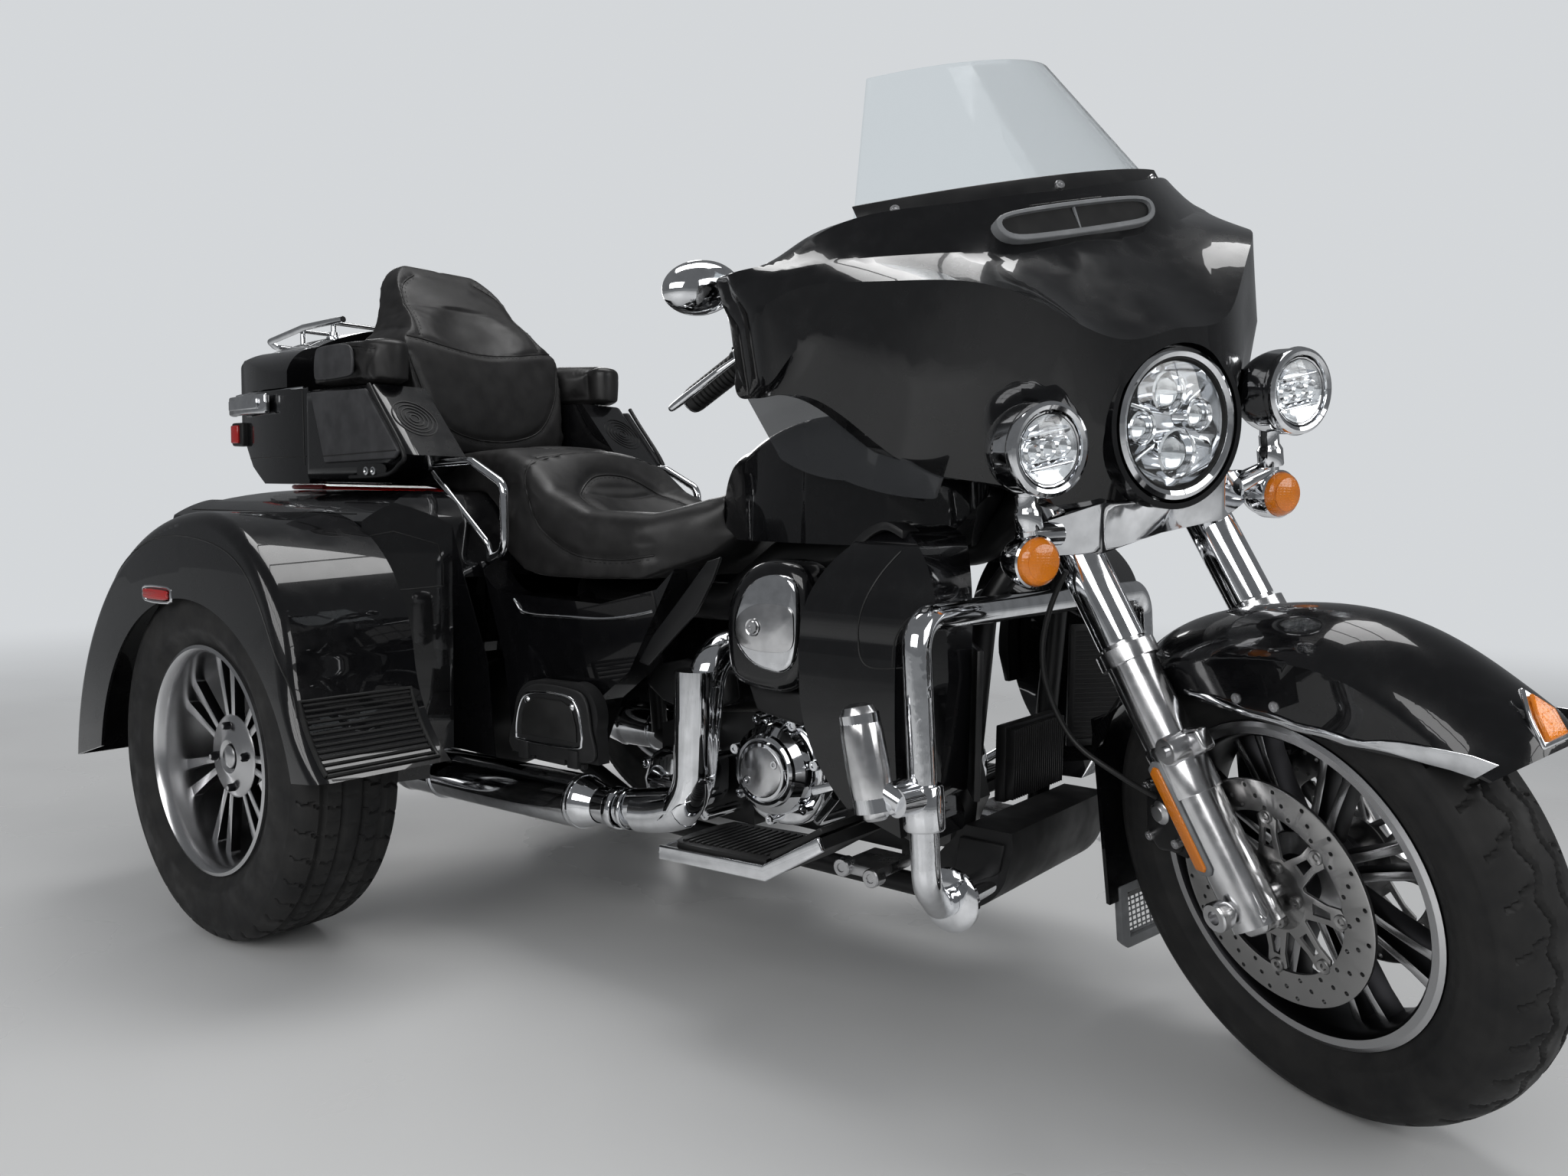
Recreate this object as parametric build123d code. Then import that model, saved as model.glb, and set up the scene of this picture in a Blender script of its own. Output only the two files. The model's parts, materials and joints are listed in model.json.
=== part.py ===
from build123d import *
import math
import os

# Three-wheeled touring motorcycle.
# X points forward, Y to the rider's left, Z up. Everything is in millimetres.
# The model is drawn with the rear axle at X = 0 and moved to its frame when it is written.
# The front end is drawn steering straight ahead, then turned about the steering axis.

wheelbase = 1670
rake = 26
trail = 99
rest_steer = -29.34
frame_shift_x = -627.5

rear_axle_z = 322
rear_wheel_y = 580
front_axle_z = 317

fender_outer_y = 695
fender_inner_y = 458
trunk_half = 456

fork_y = 120
fork_angle = 31

steer_axis = Axis(
    (wheelbase + trail, 0, 0),
    (-math.sin(math.radians(rake)), 0, math.cos(math.radians(rake))))
os.makedirs("parts", exist_ok=True)


def drawn(start, *steps):
    """Closed face from a start point; a step is a point (line) or a pair of points (arc)."""
    edges = []
    here = start
    for step in steps:
        if isinstance(step[0], tuple):
            edges.append(ThreePointArc(here, step[0], step[1]))
            here = step[1]
        else:
            edges.append(Line(here, step))
            here = step
    if here != start:
        edges.append(Line(here, start))
    return make_face(edges)


def side_slab(face, y_from, y_to):
    """Face drawn as (x, z), thickened from y_from to y_to."""
    return extrude(Plane.XZ.offset(-y_from) * face, amount=y_from - y_to)


def front_slab(face, x_from, x_to):
    """Face drawn as (y, z), thickened from x_from to x_to."""
    return extrude(Plane.YZ.offset(x_from) * face, amount=x_to - x_from)


def plan_slab(face, z_from, z_to):
    """Face drawn as (x, y), thickened from z_from to z_to."""
    return extrude(Plane.XY.offset(z_from) * face, amount=z_to - z_from)


def ring(face, x, y, z):
    """Face drawn as (radius, y), turned about a wheel axle at x, y, z."""
    return Pos(x, y, z) * revolve(face, axis=Axis.Y)


def rod(start, end, radius):
    """Round bar between two points."""
    a = Vector(*start)
    b = Vector(*end)
    bar = Cylinder(radius, (b - a).length, align=(Align.CENTER, Align.CENTER, Align.MIN))
    return Plane(origin=a, z_dir=b - a) * bar


def tube(points, radius, bend):
    """Round tube through the points with bends of one radius."""
    path = FilletPolyline(*points, radius=bend)
    return sweep(Plane(origin=path @ 0, z_dir=path % 0) * Circle(radius), path=path)


def block(x0, x1, y0, y1, z0, z1):
    """Plain block between the limits."""
    return Pos((x0 + x1) / 2, (y0 + y1) / 2, (z0 + z1) / 2) * Box(x1 - x0, y1 - y0, z1 - z0)


def rounded(shape, radius, *edges):
    """Fillet that steps down in size until the solid takes it."""
    for size in (radius, radius * 0.7, radius * 0.4):
        try:
            result = fillet(edges, size)
            if result.is_valid:
                return result
        except Exception:
            continue
    return shape


def bowl(x, y, z, radius, depth):
    """Round lamp housing that faces forward, its rim at x and its rounded back behind."""
    back = radius * 0.3
    face = drawn(
        (0, 0), (0, radius), (-0.3 * depth, radius), ((-0.76 * depth, radius * 0.74), (-depth, back)),
        (-depth, 0))
    return Pos(x, y, z) * revolve(face, axis=Axis.X)


def other_side(shape):
    """The same piece mirrored to the left."""
    return mirror(shape, about=Plane.XZ)


def turned(shape):
    """Front-end piece turned to the rest angle of the steering."""
    return shape.rotate(steer_axis, rest_steer)


made = {}

# Rear wheels and tires
rear_tire_face = drawn(
    (199, -82), ((255, -100), (298, -94)), ((313, -88), (320, -66)), ((322, 0), (320, 66)),
    ((313, 88), (298, 94)), ((255, 100), (199, 82)))
rear_rim_face = drawn(
    (204, -92), (204, -84), (197, -80), (193, 76), (203, 80), (203, 88), (186, 88), (180, 30),
    (176, -22), (196, -90))
rear_tire = ring(rear_tire_face, 0, -rear_wheel_y, rear_axle_z)
rim = ring(rear_rim_face, 0, 0, 0)
hub = Pos(0, -8, 0) * Rot(90, 0, 0) * Cylinder(52, 76)
hub_flange = Pos(0, -36, 0) * Rot(90, 0, 0) * Cylinder(76, 14)
wheel = rim + hub + hub_flange
for pair in range(7):
    for side in (-1, 1):
        angle = 201 + pair * 360 / 7
        spoke = Pos(124, -24, 0) * Box(118, 26, 13)
        spoke = spoke.rotate(Axis((66, 0, 0), (0, 1, 0)), -side * 7)
        wheel += spoke.rotate(Axis.Y, -angle - side * 7)
wheel -= Rot(90, 0, 0) * Cylinder(22, 200)
rear_wheel = Pos(0, -rear_wheel_y, rear_axle_z) * wheel
rear_tire -= rear_wheel
made["rear_tire_right"] = rear_tire
made["rear_tire_left"] = other_side(rear_tire)
made["rear_wheel_right"] = rear_wheel
made["rear_wheel_left"] = other_side(rear_wheel)

# Rear axle: differential housing, two tubes and the wheel flanges
axle = rod((0, -492, rear_axle_z), (0, 492, rear_axle_z), 38)
axle += Pos(0, 0, rear_axle_z) * Sphere(118)
axle += rod((0, -535, rear_axle_z), (0, -485, rear_axle_z), 46)
axle += rod((0, 485, rear_axle_z), (0, 535, rear_axle_z), 46)
made["rear_axle"] = axle

# Rear fenders: rounded shell over each wheel, open below
fender_face = drawn(
    (-500, 262), ((-352, 590), (40, 758)), ((205, 700), (310, 520)), ((345, 420), (412, 348)),
    (330, 338), ((-30, 606), (-368, 300)))
fender_inner_face = drawn(
    (-486, 262), ((-342, 582), (38, 744)), ((195, 690), (296, 518)), ((330, 420), (392, 348)),
    (330, 200), (-368, 200))
fender = side_slab(fender_face, -fender_outer_y, -fender_inner_y)
arch_centre = Vector(-30, -fender_outer_y, 300)
crown_edges = fender.edges().filter_by_position(Axis.Y, -fender_outer_y - 1, -fender_outer_y + 1)
crown_edges = crown_edges.filter_by(lambda e: (e @ 0.5).Z > 400 and (e @ 0.5 - arch_centre).length > 330)
fender = rounded(fender, 24, *crown_edges)
fender -= side_slab(fender_inner_face, -fender_outer_y + 5, -fender_inner_y - 12)
well = side_slab(drawn(
    (330, 338), ((-30, 606), (-368, 300)), (-368, 200), (330, 200)), -700, -fender_inner_y - 12)
fender -= well
made["fender_right"] = fender
made["fender_left"] = other_side(fender)

# Rear body: trunk between the fenders with the side panels ahead of it
body_face = drawn(
    (-560, 318), (-585, 420), (-585, 704), ((-566, 748), (-480, 772)), ((-340, 795), (-200, 800)),
    (40, 800),
    ((150, 790), (205, 735)), (242, 634), (306, 491), (330, 300), (322, 262), (-420, 262))
rear_body = side_slab(body_face, -trunk_half, trunk_half)
rear_body = rear_body & front_slab(drawn(
    (-trunk_half, 200), (trunk_half, 200), (trunk_half, 742), ((390, 782), (280, 798)), (-280, 798),
    ((-390, 782), (-trunk_half, 742))), -700, 400)
side_cut = plan_slab(drawn((150, -460), (330, -460), (400, -460), (400, -302), (205, -302)), 200, 900)
rear_body -= side_cut
rear_body -= other_side(side_cut)
trunk_room = block(-590, -60, -385, 385, 470, 688)
rear_body -= trunk_room
rear_body -= Pos(0, 0, rear_axle_z) * Sphere(126)
rear_body -= rod((0, -470, rear_axle_z), (0, 470, rear_axle_z), 46)
rear_body -= block(-60, 330, -300, 300, 200, 640)
rear_body -= block(-440, 340, -345, 345, 200, 316)
rear_body -= block(-400, 60, -300, 300, 200, 450)

trunk_door = block(-609, -591, -400, 400, 440, 700)
door_edges = trunk_door.edges().filter_by(Axis.X)
trunk_door = rounded(trunk_door, 40, *door_edges)
made["trunk_door"] = trunk_door

# Side covers below the seat
side_cover = side_slab(drawn(
    (246, 668), ((262, 640), (345, 613)), (570, 609), (702, 641), (742, 676), (640, 500), (560, 440),
    (520, 350), (338, 340), (312, 491)), -268, -205)
side_cover = rounded(side_cover, 14, *side_cover.edges().filter_by_position(Axis.Y, -269, -267))

# Engine: crankcase with gearbox, two finned cylinders, covers
case = side_slab(drawn(
    (560, 230), (1090, 230), (1120, 300), (1090, 400), (980, 430), (800, 430), (640, 410),
    (560, 380)), -105, 105)
case = case - block(780, 1080, -120, -60, 200, 450)
made["engine_case"] = case
cylinder_tables = (
    ("cylinder_front", 985, 25),
    ("cylinder_rear", 868, -22),
)
for name, foot_x, lean in cylinder_tables:
    fins = Pos(0, 0, 60) * Cylinder(46, 120)
    for row in range(9):
        fins += Pos(0, 0, 10 + row * 13) * Box(118, 128, 6)
    fins += Pos(0, 0, 148) * Box(112, 150, 56)
    fins += Pos(0, 0, 190) * Box(104, 140, 30)
    made[name] = Pos(foot_x, 0, 432) * Rot(0, lean, 0) * fins - case
cam_cover = Pos(881, -127, 357) * Rot(90, 0, 0) * Cylinder(74, 44)
made["cam_cover"] = cam_cover
air_box = side_slab(drawn(
    (856, 600), ((862, 690), (930, 704)), ((1010, 690), (1020, 610)), ((1000, 520), (935, 498)),
    ((865, 510), (856, 600))), -285, -195)
made["air_cleaner"] = air_box

# Exhaust: pipe down from the rear head, along the side to a long muffler
exhaust = tube((
    (820, -110, 560), (803, -250, 545), (803, -282, 305), (640, -290, 273), (560, -290, 270)), 30, 60)
exhaust += rod((560, -290, 270), (60, -290, 258), 46)
exhaust += rod((60, -290, 258), (30, -290, 257), 34)
made["exhaust_right"] = exhaust
exhaust_left = tube(((760, 110, 330), (745, 230, 320), (640, 285, 273), (560, 290, 270)), 30, 40)
exhaust_left += rod((560, 290, 270), (60, 290, 258), 46)
exhaust_left += rod((60, 290, 258), (30, 290, 257), 34)
made["exhaust_left"] = exhaust_left


# Frame: backbone, head tube, downtubes, lower rails and rear bracing
def on_steer_axis(height):
    """Point of the steering axis at a height."""
    return (wheelbase + trail - height * math.tan(math.radians(rake)), 0, height)


frame = rod(on_steer_axis(812), on_steer_axis(930), 36)
frame += tube(((1336, 0, 880), (1150, 0, 725), (770, 0, 695), (640, 0, 600), (250, 0, 600)), 34, 70)
for side in (-1, 1):
    y = side * 125
    frame += tube((
        (1330, side * 20, 850), (1225, side * 120, 640), (1190, y, 205), (560, y, 205),
        (330, y, 300)), 17, 60)
    frame += tube(((330, y, 300), (300, y, 560), (280, 0, 600)), 17, 40)
made["frame"] = frame
rear_body -= frame
made["rear_body"] = rear_body

# Fuel tank with its console
tank = side_slab(drawn(
    (705, 748), ((720, 830), (790, 868)), ((960, 918), (1090, 912)), ((1180, 880), (1205, 800)),
    (1160, 722), (760, 722)), -182, 182)
tank_plan = plan_slab(drawn(
    (690, -95), ((800, -150), (930, -178)), ((1090, -182), (1180, -120)), ((1225, 0), (1180, 120)),
    ((1090, 182), (930, 178)), ((800, 150), (690, 95))), 700, 930)
tank = tank & tank_plan
tank = rounded(tank, 45, *tank.edges().filter_by_position(Axis.Z, 780, 930))
tank -= block(600, 1300, -38, 38, 600, 812)
tank -= frame
made["fuel_tank"] = tank

# Seat: rider bucket and passenger pad in one padded piece
seat_table = (
    # x, half width, bottom, side top, rim half width, rim height, centre height
    (-165, 178, 826, 850, 160, 868, 872),
    (40, 186, 800, 848, 160, 878, 886),
    (200, 196, 700, 840, 150, 888, 898),
    (285, 206, 650, 805, 160, 862, 884),
    (345, 210, 640, 765, 170, 812, 792),
    (450, 208, 640, 730, 165, 772, 736),
    (585, 185, 645, 728, 135, 768, 748),
    (690, 125, 690, 752, 92, 800, 806),
    (742, 96, 735, 788, 66, 832, 842),
)
seat_sections = []
for x, half, low, side_top, rim_half, rim_top, middle in seat_table:
    bulge_y = half - 0.3 * (half - rim_half)
    bulge_z = side_top + 0.72 * (rim_top - side_top)
    face = drawn(
        (-half, low), (half, low), (half, side_top), ((bulge_y, bulge_z), (rim_half, rim_top)),
        ((0, middle), (-rim_half, rim_top)), ((-bulge_y, bulge_z), (-half, side_top)))
    seat_sections.append(Plane.YZ.offset(x) * face)
seat = loft(seat_sections, ruled=True)
seat -= tank
seat -= rear_body
seat -= frame
side_cover -= seat
side_cover -= rear_body
side_cover -= frame
made["side_cover_right"] = side_cover
made["side_cover_left"] = other_side(side_cover)
made["seat"] = seat

# Passenger backrest and armrests
back = front_slab(drawn(
    (-150, 880), (150, 880), ((192, 900), (200, 950)), (204, 1080), ((200, 1120), (176, 1140)),
    ((156, 1190), (146, 1235)), ((110, 1290), (0, 1298)), ((-110, 1290), (-146, 1235)),
    ((-156, 1190), (-176, 1140)), ((-200, 1120), (-204, 1080)), (-200, 950),
    ((-192, 900), (-150, 880))), -310, -40)
lean = side_slab(drawn(
    (-58, 880), ((-54, 960), (-72, 1060)), ((-110, 1150), (-168, 1200)), ((-205, 1250), (-240, 1290)),
    ((-262, 1303), (-284, 1290)), (-250, 1110), (-240, 1012), (-240, 880)), -260, 260)
backrest = back & lean
made["backrest"] = backrest
arm = plan_slab(drawn(
    (-234, -208), (-234, -322), ((-150, -335), (-60, -332)), ((0, -321), (22, -290)),
    ((14, -260), (-26, -250)), (-110, -208)), 1014, 1096)
arm = rounded(arm, 24, *arm.edges().filter_by_position(Axis.Z, 1095, 1097))
made["armrest_right"] = arm
made["armrest_left"] = other_side(arm)

# Luggage box: open tub with speaker pods at its front corners, and a lid hinged on the left
box_outline = (
    (-560, -302), ((-598, -284), (-612, -235)), ((-628, 0), (-612, 235)), ((-598, 284), (-560, 302)))
box_plan = plan_slab(drawn(
    *box_outline, ((-400, 328), (-240, 330)), (-240, -330), ((-400, -328), (-560, -302))), 812, 1010)
tub_taper = side_slab(drawn(
    (-430, 812), (-500, 850), (-630, 985), (-630, 1010), (-240, 1010), (-240, 812)), -340, 340)
tub = box_plan & tub_taper
tub_room = plan_slab(drawn(
    (-555, -270), ((-590, 0), (-555, 270)), (-250, 312), (-250, -312)), 832, 1010)
tub -= tub_room & side_slab(drawn(
    (-440, 825), (-500, 862), (-600, 985), (-600, 1012), (-240, 1012), (-240, 825)), -320, 320)
pod = side_slab(drawn(
    (-240, 815), (20, 815), (90, 842), (124, 866), (-8, 1006), (-240, 1006)), -346, -210)
pod = rounded(pod, 30, *pod.edges().filter_by_position(Axis.Y, -347, -345))
tub += pod
tub += other_side(pod)
made["luggage_box"] = tub

lid_plan = plan_slab(drawn(
    *box_outline, ((-440, 325), (-325, 329)), (-325, -329), ((-440, -325), (-560, -302))), 1014, 1175)
lid_side = side_slab(drawn(
    (-630, 1014), ((-604, 1052), (-545, 1086)), ((-440, 1138), (-325, 1166)), (-325, 1014)), -340, 340)
lid_dome = front_slab(drawn(
    (-331, 1014), (331, 1014), (331, 1038), ((316, 1074), (262, 1104)), ((140, 1152), (0, 1166)),
    ((-140, 1152), (-262, 1104)), ((-316, 1074), (-331, 1038))), -640, -300)
lid = lid_plan & lid_side & lid_dome
lid_room = plan_slab(drawn((-555, -270), ((-585, 0), (-555, 270)), (-337, 318), (-337, -318)), 1000, 1160)
lid_hollow = side_slab(drawn(
    (-592, 1000), ((-578, 1044), (-530, 1072)), ((-430, 1120), (-335, 1146)), (-335, 1000)), -340, 340)
lid_hollow_dome = front_slab(drawn(
    (-319, 1000), (319, 1000), (319, 1030), ((304, 1062), (252, 1090)), ((140, 1136), (0, 1150)),
    ((-140, 1136), (-252, 1090)), ((-304, 1062), (-319, 1030))), -640, -300)
lid -= lid_room & lid_hollow & lid_hollow_dome
made["luggage_lid"] = lid

rack = tube((
    (-345, -185, 1176), (-500, -190, 1170), (-660, -185, 1150), (-700, -150, 1144),
    (-700, 150, 1144), (-660, 185, 1150), (-500, 190, 1170), (-345, 185, 1176)), 7, 25)
rack += rod((-400, -186, 1174), (-400, 186, 1174), 5)
rack += rod((-530, -190, 1166), (-530, 190, 1166), 5)
for side in (-1, 1):
    rack += rod((-400, side * 175, 1130), (-400, side * 175, 1176), 6)
    rack += rod((-530, side * 175, 1078), (-530, side * 175, 1166), 6)
rack -= lid
made["luggage_rack"] = rack

# Passenger rails beside the seat
rail = tube((
    (48, -262, 850), (210, -262, 856), (306, -262, 812), (308, -262, 690), (250, -250, 672)), 8, 30)
rail += tube(((48, -262, 850), (90, -262, 835), (262, -262, 700), (250, -250, 672)), 6, 20)
rail -= tub
rail -= rear_body
made["rail_right"] = rail
made["rail_left"] = other_side(rail)

# Chrome guard around the engine with its folded pegs
guard = rod((1262, -170, 640), (1262, 170, 640), 19)
guard += rod((1262, -170, 250), (1262, 170, 250), 19)
guard_side = tube(
    ((1262, -160, 640), (1262, -374, 640), (1287, -374, 300), (1262, -300, 250), (1262, -160, 250)), 19, 42)
peg_side = rod((1282, -374, 416), (1270, -425, 416), 19)
peg_side += rod((1276, -420, 416), (1232, -424, 436), 14)
peg_side += rod((1240, -424, 400), (1212, -424, 520), 26)
guard += guard_side + peg_side
guard += other_side(guard_side) + other_side(peg_side)
guard -= frame
made["engine_guard"] = guard

# Leg shields ahead of the engine
shield = side_slab(drawn(
    (1052, 545), ((1066, 660), (1112, 728)), ((1160, 757), (1200, 742)), ((1248, 700), (1274, 620)),
    (1278, 560), (1270, 420), (1240, 330), (1130, 365), ((1075, 440), (1052, 545))), -340, -150)
shield = rounded(shield, 46, *shield.edges().filter_by_position(Axis.Y, -341, -339))
shield_bulge = front_slab(drawn(
    (-140, 300), (-140, 770), (-240, 770), ((-312, 716), (-337, 600)), ((-338, 450), (-316, 300))),
    1040, 1290)
shield &= shield_bulge
shield -= plan_slab(drawn((1290, -272), (1205, -150), (1205, -100), (1400, -100), (1400, -272)), 200, 800)
shield -= block(1000, 1262, -300, -140, 360, 620)
shield -= side_slab(drawn(
    (1216, 300), (1210, 590), ((1256, 640), (1305, 590)), (1330, 300)), -400, -316)
shield -= guard
shield -= tank
made["lower_fairing_right"] = shield
made["lower_fairing_left"] = other_side(shield)

lower_cover = side_slab(drawn(
    (1150, 204), (1205, 200), ((1260, 216), (1290, 256)), (1301, 300), (1298, 325), (1225, 325),
    (1150, 240)), -165, 165)
lower_cover -= frame
lower_cover -= guard
made["lower_cover"] = lower_cover

# Footboards
board = side_slab(drawn(
    (836, 252), (1040, 262), (1135, 322), (1128, 336), (1034, 278), (836, 268)), -390, -235)
made["footboard_right"] = board
made["footboard_left"] = other_side(board)
step = side_slab(drawn(
    (380, 335), (388, 400), ((405, 450), (450, 470)), (530, 472), ((585, 460), (600, 400)), (606, 342)),
    -305, -280)
made["passenger_board_right"] = step
made["passenger_board_left"] = other_side(step)

# Front wheel
front = {}
front_tire_face = drawn(
    (212, -44), ((250, -65), (285, -62)), ((303, -54), (311, -40)), ((320, 0), (311, 40)),
    ((303, 54), (285, 62)), ((250, 65), (212, 44)))
front_rim_face = drawn(
    (218, -48), (218, -45), (210, -42), (206, 0), (210, 42), (218, 45), (218, 48), (204, 48),
    (196, 20), (196, -20), (204, -48))
front["front_tire"] = ring(front_tire_face, wheelbase, 0, front_axle_z)
wheel = ring(front_rim_face, 0, 0, 0)
wheel += Rot(90, 0, 0) * Cylinder(60, 120)
for pair in range(8):
    for side in (-1, 1):
        angle = 26 + pair * 45
        spoke = Pos(130, 0, 0) * Box(148, 34, 12)
        spoke = spoke.rotate(Axis((58, 0, 0), (0, 1, 0)), -side * 6)
        wheel += spoke.rotate(Axis.Y, -angle - side * 5)
disc_face = drawn((54, 56), (60, 56), (60, 75), (150, 75), (150, 80), (54, 80))
disc = ring(disc_face, 0, 0, 0)
wheel += disc
wheel += other_side(disc)
wheel -= Rot(90, 0, 0) * Cylinder(14, 300)
front["front_wheel"] = Pos(wheelbase, 0, front_axle_z) * wheel
front["front_tire"] -= front["front_wheel"]


# Fork: clamps, chrome tubes, sliders and axle
def fork_point(height, y):
    """Point on the centre line of a fork leg."""
    return (wheelbase - (height - front_axle_z) * math.tan(math.radians(fork_angle)), y, height)


fork = rod((wheelbase, -165, front_axle_z), (wheelbase, 165, front_axle_z), 12)
for side in (-1, 1):
    y = side * fork_y
    fork += rod(fork_point(292, y), fork_point(610, y), 34)
    fork += rod(fork_point(604, y), fork_point(622, y), 41)
    fork += rod(fork_point(620, y), fork_point(985, y), 30)
for height, thickness in ((775, 36), (962, 28)):
    clamp_plane = Plane(origin=on_steer_axis(height), z_dir=steer_axis.direction)
    fork += clamp_plane * Box(84, 2 * fork_y + 88, thickness)
fork -= rod((wheelbase, -166, front_axle_z), (wheelbase, 166, front_axle_z), 8)
front["fork"] = fork

# Front fender
mud_table = (
    # angle around the axle, outer radius, radius of the lower edge
    (38.5, 405, 380),
    (47, 405, 326),
    (60, 393, 270),
    (75, 379, 242),
    (93, 360, 236),
    (112, 358, 258),
    (130, 363, 300),
    (146, 358, 322),
    (161, 352, 338),
)
mud_half = 83
mud_skin = 5
mud_sections = []
for angle, top, low in mud_table:
    shoulder = max(top - 52, low + 4)
    inside = mud_half - mud_skin
    face = drawn(
        (low, -mud_half), (shoulder, -mud_half), ((top, 0), (shoulder, mud_half)), (low, mud_half),
        (low, inside), (shoulder - 1, inside), ((top - mud_skin, 0), (shoulder - 1, -inside)),
        (low, -inside))
    turn = math.radians(angle)
    radial = Plane(
        origin=(wheelbase, 0, front_axle_z),
        x_dir=(math.cos(turn), 0, math.sin(turn)),
        z_dir=(math.sin(turn), 0, -math.cos(turn)))
    mud_sections.append(radial * face)
mud = loft(mud_sections, ruled=False)
mud += front_slab(drawn((-70, 470), (70, 470), (80, 167), (-80, 167)), 1336, 1344)
mud -= fork
front["front_fender"] = mud

# Fork-mounted fairing, an open shell lofted across from wing to wing
fairing_table = (
    # y, then x and z of the bottom, middle, crest, vent and top of the section
    (0, 1450, 782, 1488, 905, 1511, 1030, 1352, 1162, 1318, 1238),
    (130, 1434, 800, 1478, 930, 1488, 1052, 1345, 1166, 1303, 1240),
    (215, 1386, 860, 1430, 1000, 1440, 1117, 1318, 1176, 1268, 1244),
    (275, 1345, 882, 1388, 1010, 1391, 1140, 1280, 1184, 1228, 1245),
    (335, 1282, 936, 1310, 1050, 1302, 1155, 1238, 1190, 1182, 1229),
    (390, 1192, 1015, 1220, 1090, 1216, 1162, 1188, 1189, 1148, 1205),
    (430, 1085, 1050, 1098, 1085, 1102, 1146, 1096, 1170, 1080, 1188),
)
fairing_skin = 40
fairing_rows = [(-row[0],) + row[1:] for row in reversed(fairing_table[1:])] + list(fairing_table)
fairing_sections = []
for row in fairing_rows:
    outer = [(row[i], row[i + 1]) for i in (1, 3, 5, 7, 9)]
    inner = [(x - fairing_skin, z - fairing_skin * 0.4) for x, z in outer]
    inner[0] = (outer[0][0] - fairing_skin, outer[0][1])
    inner[-1] = (outer[-1][0] - fairing_skin, outer[-1][1])
    outline = [Vector(x, row[0], z) for x, z in outer + inner[::-1]]
    fairing_sections.append(make_face(Polyline(*outline, close=True)))
fairing = loft(fairing_sections, ruled=False)
headlight_z = 905
visor = rod((1410, 0, headlight_z), (1498, 0, headlight_z), 114)
fairing += visor
fairing -= rod((1300, 0, headlight_z), (1560, 0, headlight_z), 106)
front["headlight"] = bowl(1492, 0, headlight_z, 103, 66)

shield_bottom = Plane.XY.offset(1228) * drawn(
    (1206, -282), ((1300, 0), (1206, 282)), (1201, 282), ((1295, 0), (1201, -282)))
shield_top = Plane.XY.offset(1450) * drawn(
    (1108, -165), ((1172, 0), (1108, 165)), (1103, 165), ((1167, 0), (1103, -165)))
windshield = loft([shield_bottom, shield_top], ruled=True)
windshield -= fairing
front["windshield"] = windshield

# Lamp bracket below the headlight with the passing lamps and turn signals
bracket_table = (
    # y, then x and z of the upper and the lower edge
    (-178, 1430, 806, 1430, 758),
    (-110, 1462, 818, 1452, 748),
    (0, 1474, 800, 1446, 752),
    (110, 1462, 818, 1452, 748),
    (178, 1430, 806, 1430, 758),
)
bracket_sections = []
for y, x_top, z_top, x_low, z_low in bracket_table:
    outline = [Vector(x_top, y, z_top), Vector(x_low, y, z_low), Vector(x_low - 12, y, z_low),
               Vector(x_top - 12, y, z_top)]
    bracket_sections.append(make_face(Polyline(*outline, close=True)))
lamps = loft(bracket_sections, ruled=True)
lamp_y = 220
for side in (-1, 1):
    y = side * lamp_y
    lamps += rod((1428, side * 165, 785), (1436, y, 795), 17)
    lamps += rod((1436, y, 795), (1422, side * 222, 764), 15)
    lamps += rod((1440, y, 788), (1446, y, 870), 13)
    lamps += bowl(1496, y, 912, 60, 90)
    lamps += bowl(1452, side * 222, 762, 33, 60)
lamps -= fork
lamps -= front["headlight"]
front["lamp_bar"] = lamps
fairing -= lamps
fairing -= fork

bar = tube((
    (900, -395, 1050), (990, -322, 1105), (1180, -200, 1110), (1265, -60, 1040), (1265, 60, 1040),
    (1180, 200, 1110), (990, 322, 1105), (900, 395, 1050)), 13, 40)
for side in (-1, 1):
    bar += rod((850, side * 432, 1020), (945, side * 358, 1078), 19)
front["handlebar"] = bar
front["fairing"] = fairing

# Instrument panel that closes the fairing on the rider's side
panel = side_slab(drawn(
    (1246, 1212), (1186, 1156), (1152, 1045), (1180, 974), (1212, 974), (1240, 1075), (1280, 1130),
    (1296, 1212)), -240, 240)
panel = panel & plan_slab(drawn((1100, -240), (1212, -240), ((1290, 0), (1212, 240)), (1100, 240)), 950, 1220)
panel -= fairing
panel -= windshield
panel -= fork
panel -= bar
front["instrument_panel"] = panel

mirror_head = Pos(1002, -437, 1193) * Rot(0, 0, 12) * scale(Sphere(1), by=(28, 68, 41))
mirror_head += rod((1002, -400, 1180), (1010, -340, 1100), 6)
front["mirror_right"] = mirror_head
front["mirror_left"] = other_side(mirror_head)

deflector_turn = math.radians(10.5)
deflector_plane = Plane(
    origin=(1366, -300, 0),
    x_dir=(math.cos(deflector_turn), math.sin(deflector_turn), 0),
    z_dir=(math.sin(deflector_turn), -math.cos(deflector_turn), 0))
deflector = extrude(deflector_plane * drawn(
    (-410, 1020), ((-330, 1024), (-237, 1012)), ((-160, 985), (-110, 947)), ((-40, 905), (11, 887)),
    (-8, 859), ((-110, 866), (-194, 884)), ((-290, 898), (-343, 917)), (-410, 1020)), amount=6)
deflector -= fairing
front["wind_deflector_right"] = deflector
front["wind_deflector_left"] = other_side(deflector)

caliper = block(1492, 1560, -112, -58, 335, 430)
caliper -= Pos(wheelbase, -77.5, front_axle_z) * Rot(90, 0, 0) * Cylinder(157, 17)
caliper -= fork
front["caliper_right"] = caliper
front["caliper_left"] = other_side(caliper)

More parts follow.
